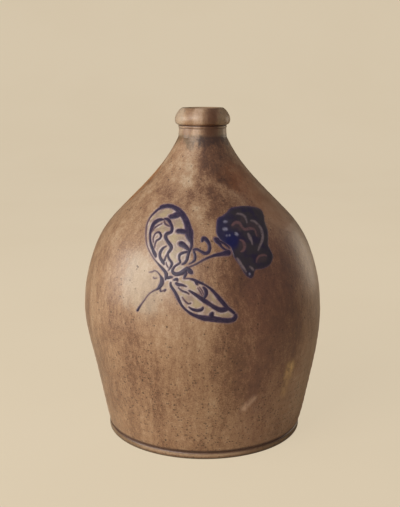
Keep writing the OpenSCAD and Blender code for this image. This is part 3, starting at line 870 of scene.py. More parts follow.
def glaze_body(glaze):
    """Colour, roughness and relief that every salt-glazed surface shares, with painted light and shade on the
    body.
    """
    colours = glaze.colours
    x, _, z = glaze.axes()
    wide = glaze.cloud(9, 4, 0.6)
    middle = glaze.cloud(48, 5, 0.66, glaze.stretched(0.8, 3.0))
    fine = glaze.cloud(240, 4, 0.7, glaze.stretched(0.45, 7.0))
    grain = glaze.cloud(700, 2, 0.7)
    runs = glaze.cloud(60, 3, 0.6, glaze.stretched(0.12, 11.0))
    washes = glaze.cloud(34, 3, 0.6, glaze.stretched(0.22, 17.0))
    tone = glaze.blend((0.20, wide), (0.17, middle), (0.46, fine), (0.46, grain), (0.44, washes))
    shoulder = glaze.band(z, 0.235, 0.285, 0.31, 0.345)
    tone = tone + (runs - 0.5) * (0.25 + shoulder * 0.32)
    # Painted shade down the right side and low on the left, and painted light low on the right
    ragged = (middle - 0.5) * 0.05
    across = x + ragged
    side = glaze.band(across, -0.004, 0.038, 0.086, 0.118) * glaze.band(z, 0.030, 0.115, 0.215, 0.280)
    painted_shade_low_left = glaze.band(z, 0.022, 0.050, 0.130, 0.170) * glaze.step(across, -0.050, -0.080)
    painted_light_low_right = glaze.band(z, 0.018, 0.040, 0.105, 0.145) * glaze.step(across, 0.064, 0.092)
    tone = tone - side * 0.19 - painted_shade_low_left * 0.07 + painted_light_low_right * 0.07
    for share, edge, reach, full, *places in (
        # Under the neck: a brown place, a painted highlight as a pale run beside it and a brown streak below
        (-0.25, 0.5, 0.036, 0.006, (0.012, -0.029, 0.333), (0.022, -0.044, 0.306)),
        (0.20, 0.35, 0.014, 0.003, (-0.0065, -0.0262, 0.338), (-0.0180, -0.0560, 0.296)),
        (-0.10, 1, 0.020, 0.004, (0.030, -0.056, 0.290), (0.014, -0.082, 0.264)),
        # Painted light on the belly's middle, a painted highlight on its left, and painted rim light on the
        # edge of the right shoulder
        (0.09, 1, 0.055, 0.010, (-0.022, -0.133, 0.150)),
        (0.075, 1, 0.048, 0.008, (-0.070, -0.106, 0.200)),
        (0.15, 1, 0.028, 0.006, (0.083, -0.050, 0.258)),
    ):
        tone = tone + glaze.patch(ragged * edge, reach, full, *places) * share
    stops = (0.12, colours.deep), (0.34, colours.brown), (0.54, colours.clay), (0.80, colours.pale)
    colour = glaze.ramp(tone, *stops)
    # A warmer flash on the right shoulder, a redder right side and a painted highlight as a pale patch on the
    # left of the belly
    flash = glaze.patch(ragged, 0.034, 0.008, (0.046, -0.035, 0.293), (0.085, -0.043, 0.256))
    thin = glaze.patch(ragged, 0.034, 0.012, (-0.064, -0.109, 0.204), (-0.058, -0.116, 0.184))
    colour = glaze.mix(flash * 0.44, colour, paint(158, 92, 46))
    colour = glaze.mix(glaze.step(across, 0.020, 0.060) * 0.24, colour, paint(136, 86, 78))
    colour = glaze.mix(thin * 0.30, colour, paint(216, 208, 190))
    # Specks of iron, thickest low on the body, and iron dust between them
    gap, (chance, bulk, _) = glaze.cells(300)
    low_front = glaze.step(glaze.gap_to((-0.022, -0.110, 0.052)), 0.100, 0.040)
    crowd = glaze.step(z, 0.17, 0.05) * glaze.step(glaze.cloud(14, 2, 0.5), 0.42, 0.62)
    crowd = glaze.calc("MAXIMUM", crowd, low_front * glaze.step(middle, 0.30, 0.52))
    size = bulk * 0.26
    speck = glaze.step(chance, 0.95 - crowd * 0.14, 1.0) * glaze.step(gap, size + 0.20, size + 0.06)
    colour = glaze.mix(speck * 0.75, colour, colours.speck)
    gap, (_, _, chance) = glaze.cells(330)
    rare = 0.90 - crowd * 0.34
    dust = glaze.step(chance, rare, rare + 0.08) * glaze.step(gap, 0.40, 0.24)
    colour = glaze.mix(dust * 0.62, colour, colours.speck)
    # Scuffs of bare, paler clay low on the right
    wear_and_sheen = (middle - 0.5) * 0.016 + (fine - 0.5) * 0.010
    patchy = 0.25 + glaze.step(fine, 0.38, 0.58) * 0.75
    for start, end, reach, tint in (
        ((0.0945, -0.0940, 0.099), (0.0922, -0.0930, 0.088), 0.0100, (222, 184, 124)),
        ((0.0925, -0.0930, 0.088), (0.0876, -0.0912, 0.066), 0.0080, (184, 146, 106)),
        ((0.0990, -0.0870, 0.084), (0.0960, -0.0850, 0.058), 0.0070, (176, 144, 114)),
        ((0.0440, -0.1160, 0.0600), (0.0550, -0.1132, 0.071), 0.0070, (206, 170, 146)),
        ((0.0545, -0.1128, 0.059), (0.0560, -0.1122, 0.054), 0.0060, (160, 124, 104)),
    ):
        colour = glaze.mix(glaze.patch(wear_and_sheen, reach, 0.0, start, end) * patchy, colour, paint(*tint))
    # Orange-peel relief
    peel, _ = glaze.cells(620)
    relief = peel * 0.6 + fine * 0.9 - speck * 0.35
    normal = glaze.bump(relief, bpy.context.scene.jug_throwing.pitting)
    return colour, middle * 0.24 + grain * 0.12 + 0.32, normal


def stained(glaze, colour):
    """Dark stain round the foot of the neck, with short drips; painted highlights and shade on the lip, the
    neck and the foot band, and painted shade in the grooves and along the lower edge.
    """
    colours = glaze.colours
    x, y, z = glaze.axes()
    drips = glaze.cloud(150, 3, 0.62, glaze.stretched(0.16, 5.0))
    broad = glaze.cloud(46, 2, 0.5, glaze.stretched(0.3, 9.0))
    spotty = glaze.step(glaze.cloud(210, 3, 0.6, glaze.stretched(1, 23.0)), 0.32, 0.64)
    low = z - (drips - 0.5) * 0.022 - (broad - 0.5) * 0.028
    stain = glaze.step(low, collar_z - 2 * MM, collar_z + 4 * MM)
    stain = stain * glaze.step(z, collar_z + 13 * MM, collar_z + 10 * MM)
    # The stain is stronger and deeper on the right: a real stain, with painted shade on the side away from
    # the light
    stain = stain * (0.44 + glaze.step(x, -0.012, 0.002) * 0.20)
    stain = glaze.calc("ADD", stain, stain * spotty * 0.7, clamp=True)
    tint = glaze.mix(glaze.step(x, -0.020, 0.000), paint(96, 76, 48), colours.deep)
    colour = glaze.mix(stain, colour, tint)
    # The lip and the neck a little paler, and upright runs on their front, in millimetres across: painted
    # highlights in the pale runs, painted shade in the brown and dark ones, and a grey-brown run at the right
    high = glaze.step(z, collar_z + 8 * MM, collar_z + 12 * MM)
    front = high * glaze.step(y, 0.006, -0.006)
    waver = x + (drips - 0.5) * 0.011 + (jug_top - 10 * MM - z) * 0.12
    wear_and_sheen = 0.45 + glaze.step(glaze.cloud(420, 3, 0.7), 0.30, 0.56) * 0.55
    colour = glaze.mix(high * 0.16, colour, colours.pale)
    for places, strength, tint in (
        ((-40, -29, -24, -18), wear_and_sheen * 0.50, (214, 198, 176)),
        ((-20, -17, -12.5, -10.5), 0.42, (136, 96, 68)),
        ((-11, -8, -3, 0.5), wear_and_sheen * 0.42, (216, 186, 164)),
        ((-2.0, 8.5, 12, 22), 0.86, (96, 58, 38)),
        ((16, 20, 27, 34), wear_and_sheen * 0.40, (150, 136, 112)),
    ):
        run = glaze.band(waver, *(place * MM for place in places)) * front
        colour = glaze.mix(run * strength, colour, paint(*tint))
    # The foot band: a painted highlight along its middle in front, and painted shade towards the sides
    aside = glaze.step(abs(x + 0.012), 0.030, 0.075)
    foot = glaze.step(z, foot_top + 0.3 * MM, foot_top - 0.7 * MM)
    colour = glaze.mix(foot * aside * 0.55, colour, paint(104, 82, 56))
    painted_crest_highlight = glaze.step(abs(z - (foot_top - 2.6 * MM)), 2.2 * MM, 0.3 * MM)
    colour = glaze.mix(painted_crest_highlight * (1.0 - aside) * 0.45, colour, colours.pale)
    # Painted shade: dark lines under the lip, under the bead, in the foot's groove and along the lower edge
    for height, reach, depth, tint in (
        (lip_z, 1.6 * MM, 0.8, (84, 52, 40)),
        (bead_z, 1.0 * MM, 0.6, (84, 52, 40)),
        (foot_top + 0.9 * MM, 3.5 * MM, 0.94, (80, 50, 38)),
        (0.0, 4.2 * MM, 0.95, (88, 66, 44)),
    ):
        colour = glaze.mix(glaze.step(abs(z - height), reach, 0.2 * reach) * depth, colour, paint(*tint))
    return colour


def blushed(glaze, colour):
    """Orange blush on the left shoulder, with a darker rim, where another pot stood close in the kiln."""
    ends = [(-float(jug_radius(height)), 5 * MM, height) for height in (jug_top - 78 * MM, jug_top - 92 * MM)]
    gap = glaze.gap_to(*ends) + (glaze.cloud(70, 4, 0.6) - 0.5) * 0.022
    _, y, _ = glaze.axes()
    behind = glaze.step(y, -0.022, -0.008)
    rim = glaze.band(gap, 0.010, 0.018, 0.021, 0.029) * behind
    colour = glaze.mix(glaze.step(gap, 0.031, 0.019) * behind * 0.68, colour, glaze.colours.blush)
    colour = glaze.mix(rim * 0.62, colour, paint(140, 86, 40))
    return glaze.mix(glaze.step(gap, 0.011, 0.003) * 0.4, colour, glaze.colours.pale)


def salt_glaze():
    """Salt-glazed clay of the body, the neck and the lip."""
    glaze = Finish("salt_glaze_fired", coat=0.6, coat_roughness=0.33)
    colours = glaze.colours
    colour, rough, normal = glaze_body(glaze)
    colour = blushed(glaze, stained(glaze, colour))
    blotch = glaze.step(glaze.cloud(170, 3, 0.6), 0.38, 0.62)
    broad = glaze.step(glaze.cloud(75, 2, 0.5, glaze.stretched(1, 4.0)), 0.38, 0.62)
    ground = glaze.mix(broad, colours.ground, paint(156, 135, 126))
    colour = glaze.mix(glaze.value("leaf_ground") * 0.80, colour, ground)
    colour = glaze.mix(glaze.value("ink_halo") * (0.22 + blotch * 0.62), colour, colours.halo)
    colour = glaze.mix(glaze.value("ink_bleed") * 0.75, colour, colours.cobalt_thin)
    return glaze.done(colour, rough, normal)


def handle_glaze():
    """Salt-glazed clay of the handle, flashed orange on its outer bend, with painted shade along its sides,
    in its flutes and at its root.
    """
    glaze = Finish("handle_glaze_fired", coat=0.6, coat_roughness=0.33)
    colours = glaze.colours
    colour, rough, normal = glaze_body(glaze)
    ragged = (glaze.cloud(60, 4, 0.6) - 0.5) * 0.03
    outer = glaze.value("outer_face")
    station = glaze.value("station")
    flash = glaze.band(station + ragged * 60, 3.2, 4.8, 8.8, 10.2) * glaze.step(outer, -0.3, 0.7)
    colour = glaze.mix(flash * 0.8, colour, colours.blush)
    # Painted shade: a line along each side, under the rounded edge of the outer face, and in the flutes and
    # the crease at the root
    edge_shade_line = glaze.step(abs(outer - 0.20), 0.26, 0.06) * glaze.step(station, 0.4, 1.4)
    for share in (edge_shade_line * 0.45, glaze.value("flute") * 0.62, glaze.value("crease") * 0.9):
        colour = glaze.mix(share, colour, colours.deep)
    # The blue runs out past its coat and down both sides of the tail
    blue = glaze.step(station + ragged * 110, 12.5, 13.3) * glaze.step(outer, -0.85, -0.40)
    blot = glaze.step(glaze.cloud(160, 3, 0.6), 0.40, 0.60)
    colour = glaze.mix(blue * 0.86, colour, glaze.mix(blot, colours.cobalt_thin, paint(62, 50, 90)))
    return glaze.done(colour, rough, normal)


def cobalt_glaze():
    """Brushed cobalt: dense in the middle of a stroke, thin and violet at its edges."""
    glaze = Finish("cobalt_glaze_fired", coat=0.08, coat_roughness=0.25, specular=0.38)
    colours = glaze.colours
    along, side = glaze.value("brush_along") * 14, glaze.value("brush_side") * 9
    streak = glaze.cloud(1.0, 3, 0.6, glaze.node("ShaderNodeCombineXYZ", {0: along, 1: side}).outputs[0])
    blot = glaze.cloud(260, 3, 0.6)
    thin = glaze.step(glaze.value("brush_across"), 0.5, 1.0) * 0.7 + glaze.step(streak, 0.44, 0.70) * 0.7
    thin = glaze.calc("MULTIPLY", thin, glaze.step(blot, 0.25, 0.60), clamp=True)
    colour = glaze.mix(thin, colours.cobalt, colours.cobalt_thin)
    # A thin line lets the clay show through
    colour = glaze.mix(glaze.value("brush_thin") * 0.62, colour, paint(136, 106, 104))
    colour = glaze.mix(glaze.step(blot, 0.52, 0.68) * 0.45, colour, colours.bloom)
    return glaze.done(colour, blot * 0.25 + 0.32, glaze.bump(streak + blot, 0.12 * MM))


def bloom_glaze():
    """The filled blossom: boiled nearly black, blue at its heart, thin along the petal lines, with painted
    glints as bluish dots.
    """
    glaze = Finish("bloom_glaze_fired", coat=0.10, coat_roughness=0.25, specular=0.42)
    colours = glaze.colours
    blot = glaze.cloud(90, 4, 0.6)
    fine = glaze.cloud(420, 3, 0.6)
    x, _, _ = glaze.axes()
    colour = glaze.mix(glaze.step(blot, 0.42, 0.66), colours.bloom, colours.cobalt)
    # Bluer towards the left lobe
    colour = glaze.mix(glaze.step(x, 0.034, 0.018) * 0.75, colour, paint(44, 41, 76))
    colour = glaze.mix(glaze.value("heart") * 0.85, colour, paint(20, 24, 82))
    thin_edge = glaze.value("petal_edge") * glaze.step(fine, 0.30, 0.60)
    colour = glaze.mix(thin_edge * 0.55, colour, colours.cobalt_thin)
    wear_and_sheen = glaze.step(fine, 0.22, 0.50)
    # Petal marks where the cobalt lies thin, and painted glints as bluish dots
    for mark, strength, tint in (
        ("soft_petal", 0.60, (78, 62, 66)),
        ("grey_petal", 0.86, (132, 116, 122)),
        ("pink_petal", 0.86, (116, 84, 88)),
        ("petal_dots", 0.84, (146, 142, 166)),
    ):
        colour = glaze.mix(glaze.value(mark) * wear_and_sheen * strength, colour, paint(*tint))
    return glaze.done(colour, fine * 0.25 + 0.22, glaze.bump(fine + blot, 0.15 * MM))


def slip_glaze():
    """Brown slip inside, glossy and run."""
    glaze = Finish("slip_glaze_fired", coat=0.4, coat_roughness=0.1)
    runs = glaze.cloud(80, 3, 0.6, glaze.stretched(0.15, 2.0))
    blot = glaze.cloud(30, 4, 0.6)
    colour = glaze.mix(glaze.step(runs, 0.4, 0.65), glaze.colours.slip, paint(98, 58, 30))
    colour = glaze.mix(glaze.step(blot, 0.5, 0.7) * 0.6, colour, paint(38, 24, 18))
    return glaze.done(colour, blot * 0.2 + 0.14, glaze.bump(runs, 0.3 * MM))


def bare_clay():
    """Unglazed clay under the base, with the arcs of the cutting wire and kiln grit."""
    glaze = Finish("bare_clay_fired", roughness=0.8, specular=0.3)
    colours = glaze.colours
    blot = glaze.cloud(26, 4, 0.6)
    fine = glaze.cloud(600, 3, 0.7)
    grit, _ = glaze.cells(260)
    edge = glaze.step(glaze.gap_to((0, 0, 0)), floor_r * 0.90, floor_r * 0.99)
    # Arcs that the cutting wire left, about 6 mm apart
    arcs = glaze.calc("SINE", (glaze.gap_to((0.10, -0.17, 0.0)) + blot * 0.004) * 1050)
    colour = glaze.mix(glaze.step(blot, 0.4, 0.66), colours.bare, paint(150, 112, 84))
    colour = glaze.mix(glaze.step(fine, 0.5, 0.7) * 0.4, colour, paint(120, 88, 64))
    colour = glaze.mix(glaze.step(grit, 0.16, 0.08) * 0.6, colour, colours.speck)
    colour = glaze.mix(edge * 0.5, colour, colours.brown)
    colour = glaze.mix(glaze.step(arcs, 0.2, 1.0) * 0.28, colour, paint(132, 98, 72))
    return glaze.done(colour, fine * 0.2 + 0.66, glaze.bump(fine + arcs * 0.6, 0.25 * MM))


def show_straight(tree, share, plain, straight, end):
    """Gives the camera a share of another shader where it looks straight at a surface or the room."""
    ray = tree.nodes.new("ShaderNodeLightPath")
    part = tree.nodes.new("ShaderNodeMath")
    part.operation = "MULTIPLY"
    part.inputs[1].default_value = share
    mixed = tree.nodes.new("ShaderNodeMixShader")
    tree.links.new(ray.outputs["Is Camera Ray"], part.inputs[0])
    tree.links.new(part.outputs[0], mixed.inputs[0])
    tree.links.new(plain.outputs[0], mixed.inputs[1])
    tree.links.new(straight.outputs[0], mixed.inputs[2])
    tree.links.new(mixed.outputs[0], tree.nodes[end].inputs["Surface"])


def floor_paper():
    """Plain pale floor, which the camera sees mostly in its own colour, with a soft share of shadow."""
    paper = Finish("floor_paper", roughness=0.9, specular=0.1)
    tone = paper.cloud(2.2, 3, 0.5)
    colour = paper.mix(paper.step(tone, 0.40, 0.66) * 0.10, paper.colours.floor, paint(214, 196, 166))
    glow = paper.node("ShaderNodeEmission", {"Color": colour, "Strength": 1.0})
    show_straight(paper.tree, 0.84, paper.shader, glow, "Material Output")
    return paper.done(colour)


FINISHES = {}


def finish_named(make):
    """The material that a function makes, made once."""
    if make not in FINISHES:
        FINISHES[make] = make()
    return FINISHES[make]


# Operators, one for each piece or group of like pieces


class JugOperator:
    """What every operator of the jug shares."""

    bl_options = {"REGISTER", "UNDO"}


class JUG_OT_base(JugOperator, bpy.types.Operator):
    """Make the floor disc, with the arcs that the cutting wire left under it"""

    bl_idname = "jug.base"
    bl_label = "Base disc"

    def execute(self, context):
        low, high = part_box("base_disc")
        angles = even_angles(220)
        edge, middle, top = floor_r - 0.05 * MM, 3 * MM, high.z - 0.05 * MM
        radii = np.concatenate([np.linspace(middle, floor_r - 1.2 * MM, 70), [floor_r - 0.3 * MM, edge]])
        rows = [(r, self.cut_clay(r, angles, low.z)) for r in radii]
        rows += [(edge, high.z - 0.6 * MM), (edge, top), (0.6 * floor_r, top), (middle, top)]
        x, y = np.cos(angles), np.sin(angles)
        rings = [np.column_stack([r * x + lean(0.0), r * y, z + 0 * angles]) for r, z in rows]
        new_piece("base_disc_cut", *lofted(np.array(rings)), bare_clay, "base_disc")
        return {"FINISHED"}

    def cut_clay(self, r, angles, low):
        """Heights of the underside round a circle: a little hollow, with the arcs that the wire drags."""
        clearance, hollow, furrow, pitch = 0.15 * MM, 0.9 * MM, 0.22 * MM, 7.5 * MM
        x, y = r * np.cos(angles), r * np.sin(angles)
        arcs = np.sin(np.hypot(x - 160 * MM, y + 50 * MM) * 2 * math.pi / pitch)
        furrows = furrow * (0.5 + 0.5 * arcs) * (1 - (r / floor_r) ** 8)
        return low + clearance + hollow * (1 - (r / floor_r) ** 4) + furrows


class JUG_OT_body(JugOperator, bpy.types.Operator):
    """Throw the foot band, the lower wall and the upper wall"""

    bl_idname = "jug.body"
    bl_label = "Thrown body"

    def execute(self, context):
        angles = even_angles(300)
        belly = np.array([[belly_z, belly_r]])
        inside = np.array([[0.0, floor_r], [foot_top, floor_r]])
        turned_piece("foot_band_turned", "foot_band", spline(foot_rows, 0.5 * MM), inside, angles)

        low_wall = wall_line[wall_line[:, 0] < belly_z]
        outside = joined(spline(groove_rows, 0.4 * MM), low_wall[::2], belly)
        turned_piece("lower_wall_thrown", "lower_wall", outside, turned_rows("lower_wall", -1), angles)

        high_wall = wall_line[(wall_line[:, 0] > belly_z) & (wall_line[:, 0] < collar_z)]
        sprayed = high_wall[:, 0] < spray_top
        outside = joined(belly, high_wall[sprayed], high_wall[~sprayed][1::2], collar_rows[:1])
        inside = turned_rows("upper_wall", -1)[::2]
        self.mark_ink(turned_piece("upper_wall_thrown", "upper_wall", outside, inside, front_angles()))
        return {"FINISHED"}

    def mark_ink(self, wall):
        """Marks where the wall is pale between veins, paler beside a stroke and stained under its rim."""
        co = np.empty(len(wall.data.vertices) * 3)
        wall.data.vertices.foreach_get("co", co)
        x, y, z = co.reshape(-1, 3).T
        near = (y < -50 * MM) & (np.abs(x) < 85 * MM) & (z > belly_z) & (z < spray_top + 5 * MM)
        u, v = to_drawing(x[near], z[near])
        gap = distance_to(u, v, UPPER_LEAF_SHARES + LOWER_LEAF_SHARES + STEM_SHARES)
        bloom = closed(BLOSSOM_SHARES)
        bloom = spline(np.column_stack([bloom, np.zeros(len(bloom))]), EDGE_STEP)
        others = TENDRIL_SHARES + BUD_SHARES + TAIL_SPRIG_SHARES + [bloom]
        # Outlines of the two leaves, each taken from the strokes along its edges
        left, right, loop = UPPER_LEAF_SHARES[:3]
        left, right, loop = (spline(edge, EDGE_STEP) for edge in (left, right, loop[7:]))
        leaf = inside_of(u, v, np.vstack([left[::-1], right, loop[::-1]]))
        left, right = (spline(edge, EDGE_STEP) for edge in LOWER_LEAF_SHARES[:2])
        leaf |= inside_of(u, v, np.vstack([left, right[::-1]]))
        hub = (np.hypot(u - 0.06, v + 0.015) < 0.10) | (np.hypot(u - 0.225, v - 0.185) < 0.05)
        found = {
            "leaf_ground": leaf * fade(gap, 0.006, 0.020),
            "ink_halo": fade(gap, 0.020, 0.006) * fade(gap, -0.004, 0.004) * np.where(leaf | hub, 1.0, 0.15),
            "ink_bleed": fade(np.minimum(gap, distance_to(u, v, others)), 0.010, -0.002),
        }
        for name, numbers in found.items():
            values = np.zeros(len(x))
            values[near] = numbers
            add_values(wall, **{name: values})


class JUG_OT_neck(JugOperator, bpy.types.Operator):
    """Throw the neck collar, the bead and the lip"""

    bl_idname = "jug.neck"
    bl_label = "Neck and lip"

    def execute(self, context):
        angles = even_angles(200)
        outside = joined(collar_rows[:1], wall_line[wall_line[:, 0] > collar_z])
        turned_piece("neck_collar_thrown", "neck_collar", outside, turned_rows("neck_collar", -1), angles)

        outside = spline(bead_rows, 0.4 * MM)
        turned_piece("neck_bead_tooled", "neck_bead", outside, turned_rows("neck_bead", -1), angles)

        inside = turned_rows("lip_ring", -1)
        top = spline(np.array([lip_rows[-1], inside[-1]]), 0.8 * MM)[1:-1]
        outside = joined(spline(lip_rows, 0.6 * MM), top)
        turned_piece("lip_ring_thrown", "lip_ring", outside, spline(inside, 0.8 * MM), angles)
        return {"FINISHED"}


class JUG_OT_handle(JugOperator, bpy.types.Operator):
    """Pull the strap handle, press its root to the lip and its tail to the shoulder"""

    bl_idname = "jug.handle"
    bl_label = "Pulled handle"

    def execute(self, context):
        whole = handle_line()
        whole_rings, section = handle_points(whole)
        for part, span in HANDLE_SPANS.items():
            take = taken(whole, span)
            rings = whole_rings[take]
            if part == "tail":
                rings = seated(rings, SEAT_LIFT)
            piece = new_piece(f"handle_{part}_pulled", *lofted(rings), handle_glaze, f"handle_{part}")
            self.mark_face(piece, whole[take, 4], section)
        return {"FINISHED"}

    def mark_face(self, piece, stations, section):
        """Marks the outer face, the station along the handle, the flutes and the crease at the root."""
        across, outer = np.tile(section, (len(stations), 1)).T
        station = np.repeat(stations, len(section))
        add_values(
            piece,
            outer_face=capped(outer),
            station=capped(station, stations[[0, -1]]),
            flute=capped(np.clip(flutes_at(across, outer, station, 0.8), 0, 1)),
            crease=capped(fade(station, 1.0, 0.2)),
        )


class JUG_OT_lining(JugOperator, bpy.types.Operator):
    """Finish the slip lining inside"""

    bl_idname = "jug.lining"
    bl_label = "Slip lining"

    def execute(self, context):
        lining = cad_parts["slip_lining"]
        lining.data.materials.clear()
        lining.data.materials.append(finish_named(slip_glaze))
        return {"FINISHED"}


class JUG_OT_spray(JugOperator, bpy.types.Operator):
    """Brush the leaves, the stem, the tendril, the bud and the tail sprig"""

    bl_idname = "jug.spray"
    bl_label = "Brushed spray"

    def execute(self, context):
        # The seeds lie apart, so that no two strokes waver alike
        for name, strokes, seed in (
            ("upper_leaf", UPPER_LEAF_SHARES, 1),
            ("lower_leaf", LOWER_LEAF_SHARES, 21),
            ("stem", STEM_SHARES, 41),
            ("tendril", TENDRIL_SHARES, 51),
            ("bud", BUD_SHARES, 61),
            ("tail_sprig", TAIL_SPRIG_SHARES, 71),
        ):
            brushed_piece(f"{name}_brushed", strokes, f"cobalt_{name}", seed)
        return {"FINISHED"}


class JUG_OT_blossom(JugOperator, bpy.types.Operator):
    """Fill the blossom, with its petal lines"""

    bl_idname = "jug.blossom"
    bl_label = "Filled blossom"

    def execute(self, context):
        outline = spline(closed(BLOSSOM_SHARES), STROKE_STEP)[:-1]
        shares = np.concatenate([np.linspace(0.015, 0.9, 44), [0.93, 0.955, 0.975, 0.99, 1.0]])
        under_shares = np.array([1.0, 0.75, 0.5, 0.25, 0.015])
        u, v = self.shrunk(outline, shares)
        glint_dots, grey, pink = (
            fade(distance_to(u, v, table), 0.009, -0.009)
            for table in (GLINT_DOT_SHARES, GREY_PETAL_SHARES, PINK_PETAL_SHARES)
        )
        line = np.maximum(np.maximum(glint_dots, grey), pink)
        rim = np.sqrt(np.clip(1 - np.clip((shares - 0.9) / 0.1, 0, 1) ** 2, 0, 1))[:, None]
        rolls = 0.12 * MM * np.sin(u * 55 + 2 * np.sin(v * 31)) * np.sin(v * 47 + 1.0)
        top = (context.scene.jug_spray.ink_depth * 1.25 + rolls) * rim * (1 - 0.55 * line) - INK_SINK
        under = to_wall(*self.shrunk(outline, under_shares), -BLOSSOM_ROOT)
        points, faces = lofted(np.concatenate([to_wall(u, v, top), under]))
        piece = new_piece("blossom_filled", points, faces, bloom_glaze, "cobalt_blossom", "cobalt_glaze")
        hidden = np.zeros(len(points) - u.size)
        values = {
            "petal_dots": glint_dots,
            "grey_petal": grey,
            "pink_petal": pink,
            "soft_petal": fade(distance_to(u, v, SOFT_PETAL_SHARES), 0.022, -0.012),
            "petal_edge": np.repeat(fade(shares, 0.93, 1.0), len(outline)),
            "heart": fade(np.hypot((u - 0.63) / 0.10, (v - 0.36) / 0.12), 1.1, 0.3),
        }
        add_values(piece, **{name: capped(numbers, hidden) for name, numbers in values.items()})
        return {"FINISHED"}

    def shrunk(self, outline, shares):
        """Drawing points of the outline at shares of its reach from the blossom's middle."""
        middle = np.array(BLOSSOM_MIDDLE_SHARE)
        return (middle + shares[:, None, None] * (outline - middle)).transpose(2, 0, 1)


class JUG_OT_wash(JugOperator, bpy.types.Operator):
    """Brush the blue wash over the handle's tail"""

    bl_idname = "jug.wash"
    bl_label = "Handle wash"

    def execute(self, context):
        whole = handle_line()
        rings, section = handle_points(whole)
        coated, _ = handle_points(whole, WASH_DEPTH)
        take = taken(whole, WASH_SPAN)
        face = np.flatnonzero(section[:, 1] > 0.35)
        under = seated(rings, SEAT_LIFT)[take][:, face]
        over = seated(coated, SEAT_LIFT)[take][:, face]
        rows = len(under)
        # The brush leaves a ragged edge on both sides
        for i in range(rows):
            ragged = 0.75 + 0.25 * noise.noise(Vector((i * 0.35, 2.0, 1.0)))
            middle = under[i].mean(axis=0)
            for ring in (under[i], over[i]):
                ring[:, 0] = middle[0] + (ring[:, 0] - middle[0]) * ragged
        across = np.linspace(0, 1, len(face))
        sides = self.rounded(across)[None, :, None]
        ends = self.rounded(np.linspace(0, 1, rows))[:, None, None]
        over = under + (over - under) * sides * ends
        under = under + (seated(rings, -WASH_ROOT)[take][:, face] - under) * 0.5
        loops = np.concatenate([over, under[:, ::-1]], axis=1)
        piece = new_piece("handle_wash_brushed", *lofted(loops), cobalt_glaze, "cobalt_handle_wash")
        count = loops.shape[1]
        add_values(
            piece,
            brush_across=capped(np.tile([*np.abs(2 * across - 1), *np.ones(len(face))], rows)),
            brush_along=capped(np.repeat(whole[take, 4] * 0.06, count)),
            brush_side=capped(np.tile([*across * 3, *across[::-1] * 3], rows)),
            brush_thin=np.full(rows * count + 2, 0.8),
        )
        return {"FINISHED"}

    def rounded(self, places):
        """How full the coat is at places from 0 to 1: flat, with both edges rounded off."""
        return np.sqrt(np.clip(1 - (2 * places - 1) ** 8, 0, 1))


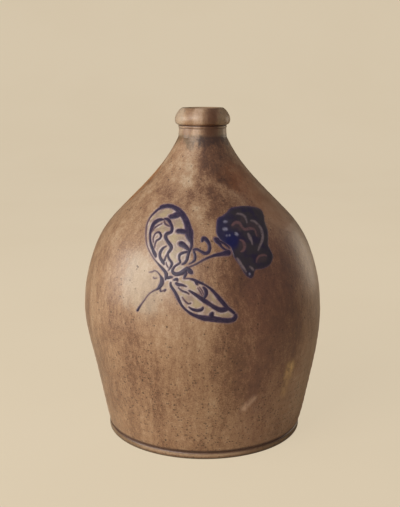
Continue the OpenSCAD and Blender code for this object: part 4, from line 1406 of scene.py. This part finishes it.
class JUG_OT_stage(JugOperator, bpy.types.Operator):
    """Set the floor, the backdrop, the lamps and the camera"""

    bl_idname = "jug.stage"
    bl_label = "Stage"

    def execute(self, context):
        scene = context.scene
        stage = scene.jug_stage
        self.sweep()
        self.room(scene, stage.air)
        white, warm, cool = (1.0, 0.965, 0.91), (1.0, 0.84, 0.64), (0.97, 1.0, 0.96)
        self.lamp("key_lamp", stage.key, (1.2, 1.2), 2.1, -42, 32, white)
        self.lamp("side_lamp", stage.side, (0.50, 0.75), 1.6, -82, 15, cool)
        self.lamp("front_lamp", stage.front, (0.14, 0.5), 1.6, -25, 14, white)
        self.lamp("rim_lamp", stage.rim, (0.45, 0.8), 1.6, 129, 5, warm)
        camera = bpy.data.objects.new("camera", bpy.data.cameras.new("camera"))
        scene.collection.objects.link(camera)
        camera.data.lens = stage.lens
        camera.data.sensor_width = 36
        camera.location = (-stage.aside, -stage.distance, stage.height)
        camera.rotation_euler = (math.pi / 2 - stage.pitch, 0, 0)
        scene.camera = camera
        scene.view_settings.view_transform = "Standard"
        return {"FINISHED"}

    def sweep(self):
        """Floor that curves up into a backdrop."""
        near, far, bend, top, half_width = -3.0, 2.4, 1.2, 5.0, 6.0
        turns = np.linspace(0, math.pi / 2, 16)[1:]
        line = [(near, 0.0), (far, 0.0)]
        line += [(far + bend * math.sin(turn), bend * (1 - math.cos(turn))) for turn in turns]
        line.append((far + bend, top))
        points = [(x, y, z - 0.05 * MM) for y, z in line for x in (-half_width, half_width)]
        faces = [(2 * i, 2 * i + 1, 2 * i + 3, 2 * i + 2) for i in range(len(line) - 1)]
        mesh = bpy.data.meshes.new("floor_sweep")
        mesh.from_pydata(points, [], faces)
        mesh.polygons.foreach_set("use_smooth", [True] * len(mesh.polygons))
        mesh.materials.append(finish_named(floor_paper))
        floor = bpy.data.objects.new("floor_sweep", mesh)
        bpy.context.scene.collection.objects.link(floor)

    def room(self, scene, strength):
        """Weak light from all around. Seen straight, the air behind the floor has the paper's colour."""
        scene.world = scene.world or bpy.data.worlds.new("room")
        scene.world.use_nodes = True
        tree = scene.world.node_tree
        air = tree.nodes["Background"]
        air.inputs["Color"].default_value = (1.0, 0.95, 0.88, 1.0)
        air.inputs["Strength"].default_value = strength
        paper = tree.nodes.new("ShaderNodeBackground")
        paper.inputs["Color"].default_value = (*paint(217, 202, 174), 1.0)
        show_straight(tree, 1.0, air, paper, "World Output")

    def lamp(self, name, power, size, distance, azimuth, height, colour):
        """Area lamp that looks at the jug: azimuth in degrees from the camera's side to the right."""
        lamp = bpy.data.lights.new(name, "AREA")
        lamp.shape = "RECTANGLE"
        lamp.size, lamp.size_y = size
        lamp.energy = power
        lamp.color = colour
        target = Vector((0, 0, jug_top * 0.5))
        turn, rise = math.radians(azimuth), math.radians(height)
        away = Vector((math.sin(turn) * math.cos(rise), -math.cos(turn) * math.cos(rise), math.sin(rise)))
        lamp_object = bpy.data.objects.new(name, lamp)
        lamp_object.location = target + away * distance
        lamp_object.rotation_euler = away.to_track_quat("Z", "Y").to_euler()
        bpy.context.scene.collection.objects.link(lamp_object)


class JUG_PT_panel(bpy.types.Panel):
    """Lists the jug's pieces in the sidebar."""

    bl_idname = "JUG_PT_panel"
    bl_label = "Stoneware jug"
    bl_space_type = "VIEW_3D"
    bl_region_type = "UI"
    bl_category = "Jug"

    def draw(self, context):
        for operator in OPERATORS:
            self.layout.operator(operator.bl_idname)
        for name, group in GROUPS.items():
            box = self.layout.box()
            box.label(text=group.__doc__)
            for key in group.__annotations__:
                box.prop(getattr(context.scene, name), key)


GROUPS = {
    "jug_throwing": JugThrowing,
    "jug_handle": JugHandle,
    "jug_spray": JugSpray,
    "jug_colours": JugColours,
    "jug_stage": JugStage,
}
OPERATORS = (
    JUG_OT_base,
    JUG_OT_body,
    JUG_OT_neck,
    JUG_OT_handle,
    JUG_OT_lining,
    JUG_OT_spray,
    JUG_OT_blossom,
    JUG_OT_wash,
    JUG_OT_stage,
)


def register():
    """Registers every class, and puts the groups of sizes and colours on the scene."""
    for made in (*GROUPS.values(), *OPERATORS, JUG_PT_panel):
        bpy.utils.register_class(made)
    for name, group in GROUPS.items():
        setattr(bpy.types.Scene, name, PointerProperty(type=group))


def unregister():
    """Takes back what register did."""
    for name in GROUPS:
        delattr(bpy.types.Scene, name)
    for made in reversed((*GROUPS.values(), *OPERATORS, JUG_PT_panel)):
        bpy.utils.unregister_class(made)


def main():
    """Builds the jug and its stage."""
    register()
    bpy.ops.jug.base()
    bpy.ops.jug.body()
    bpy.ops.jug.neck()
    bpy.ops.jug.handle()
    bpy.ops.jug.lining()
    bpy.ops.jug.spray()
    bpy.ops.jug.blossom()
    bpy.ops.jug.wash()
    bpy.ops.jug.stage()


if __name__ == "__main__":
    main()
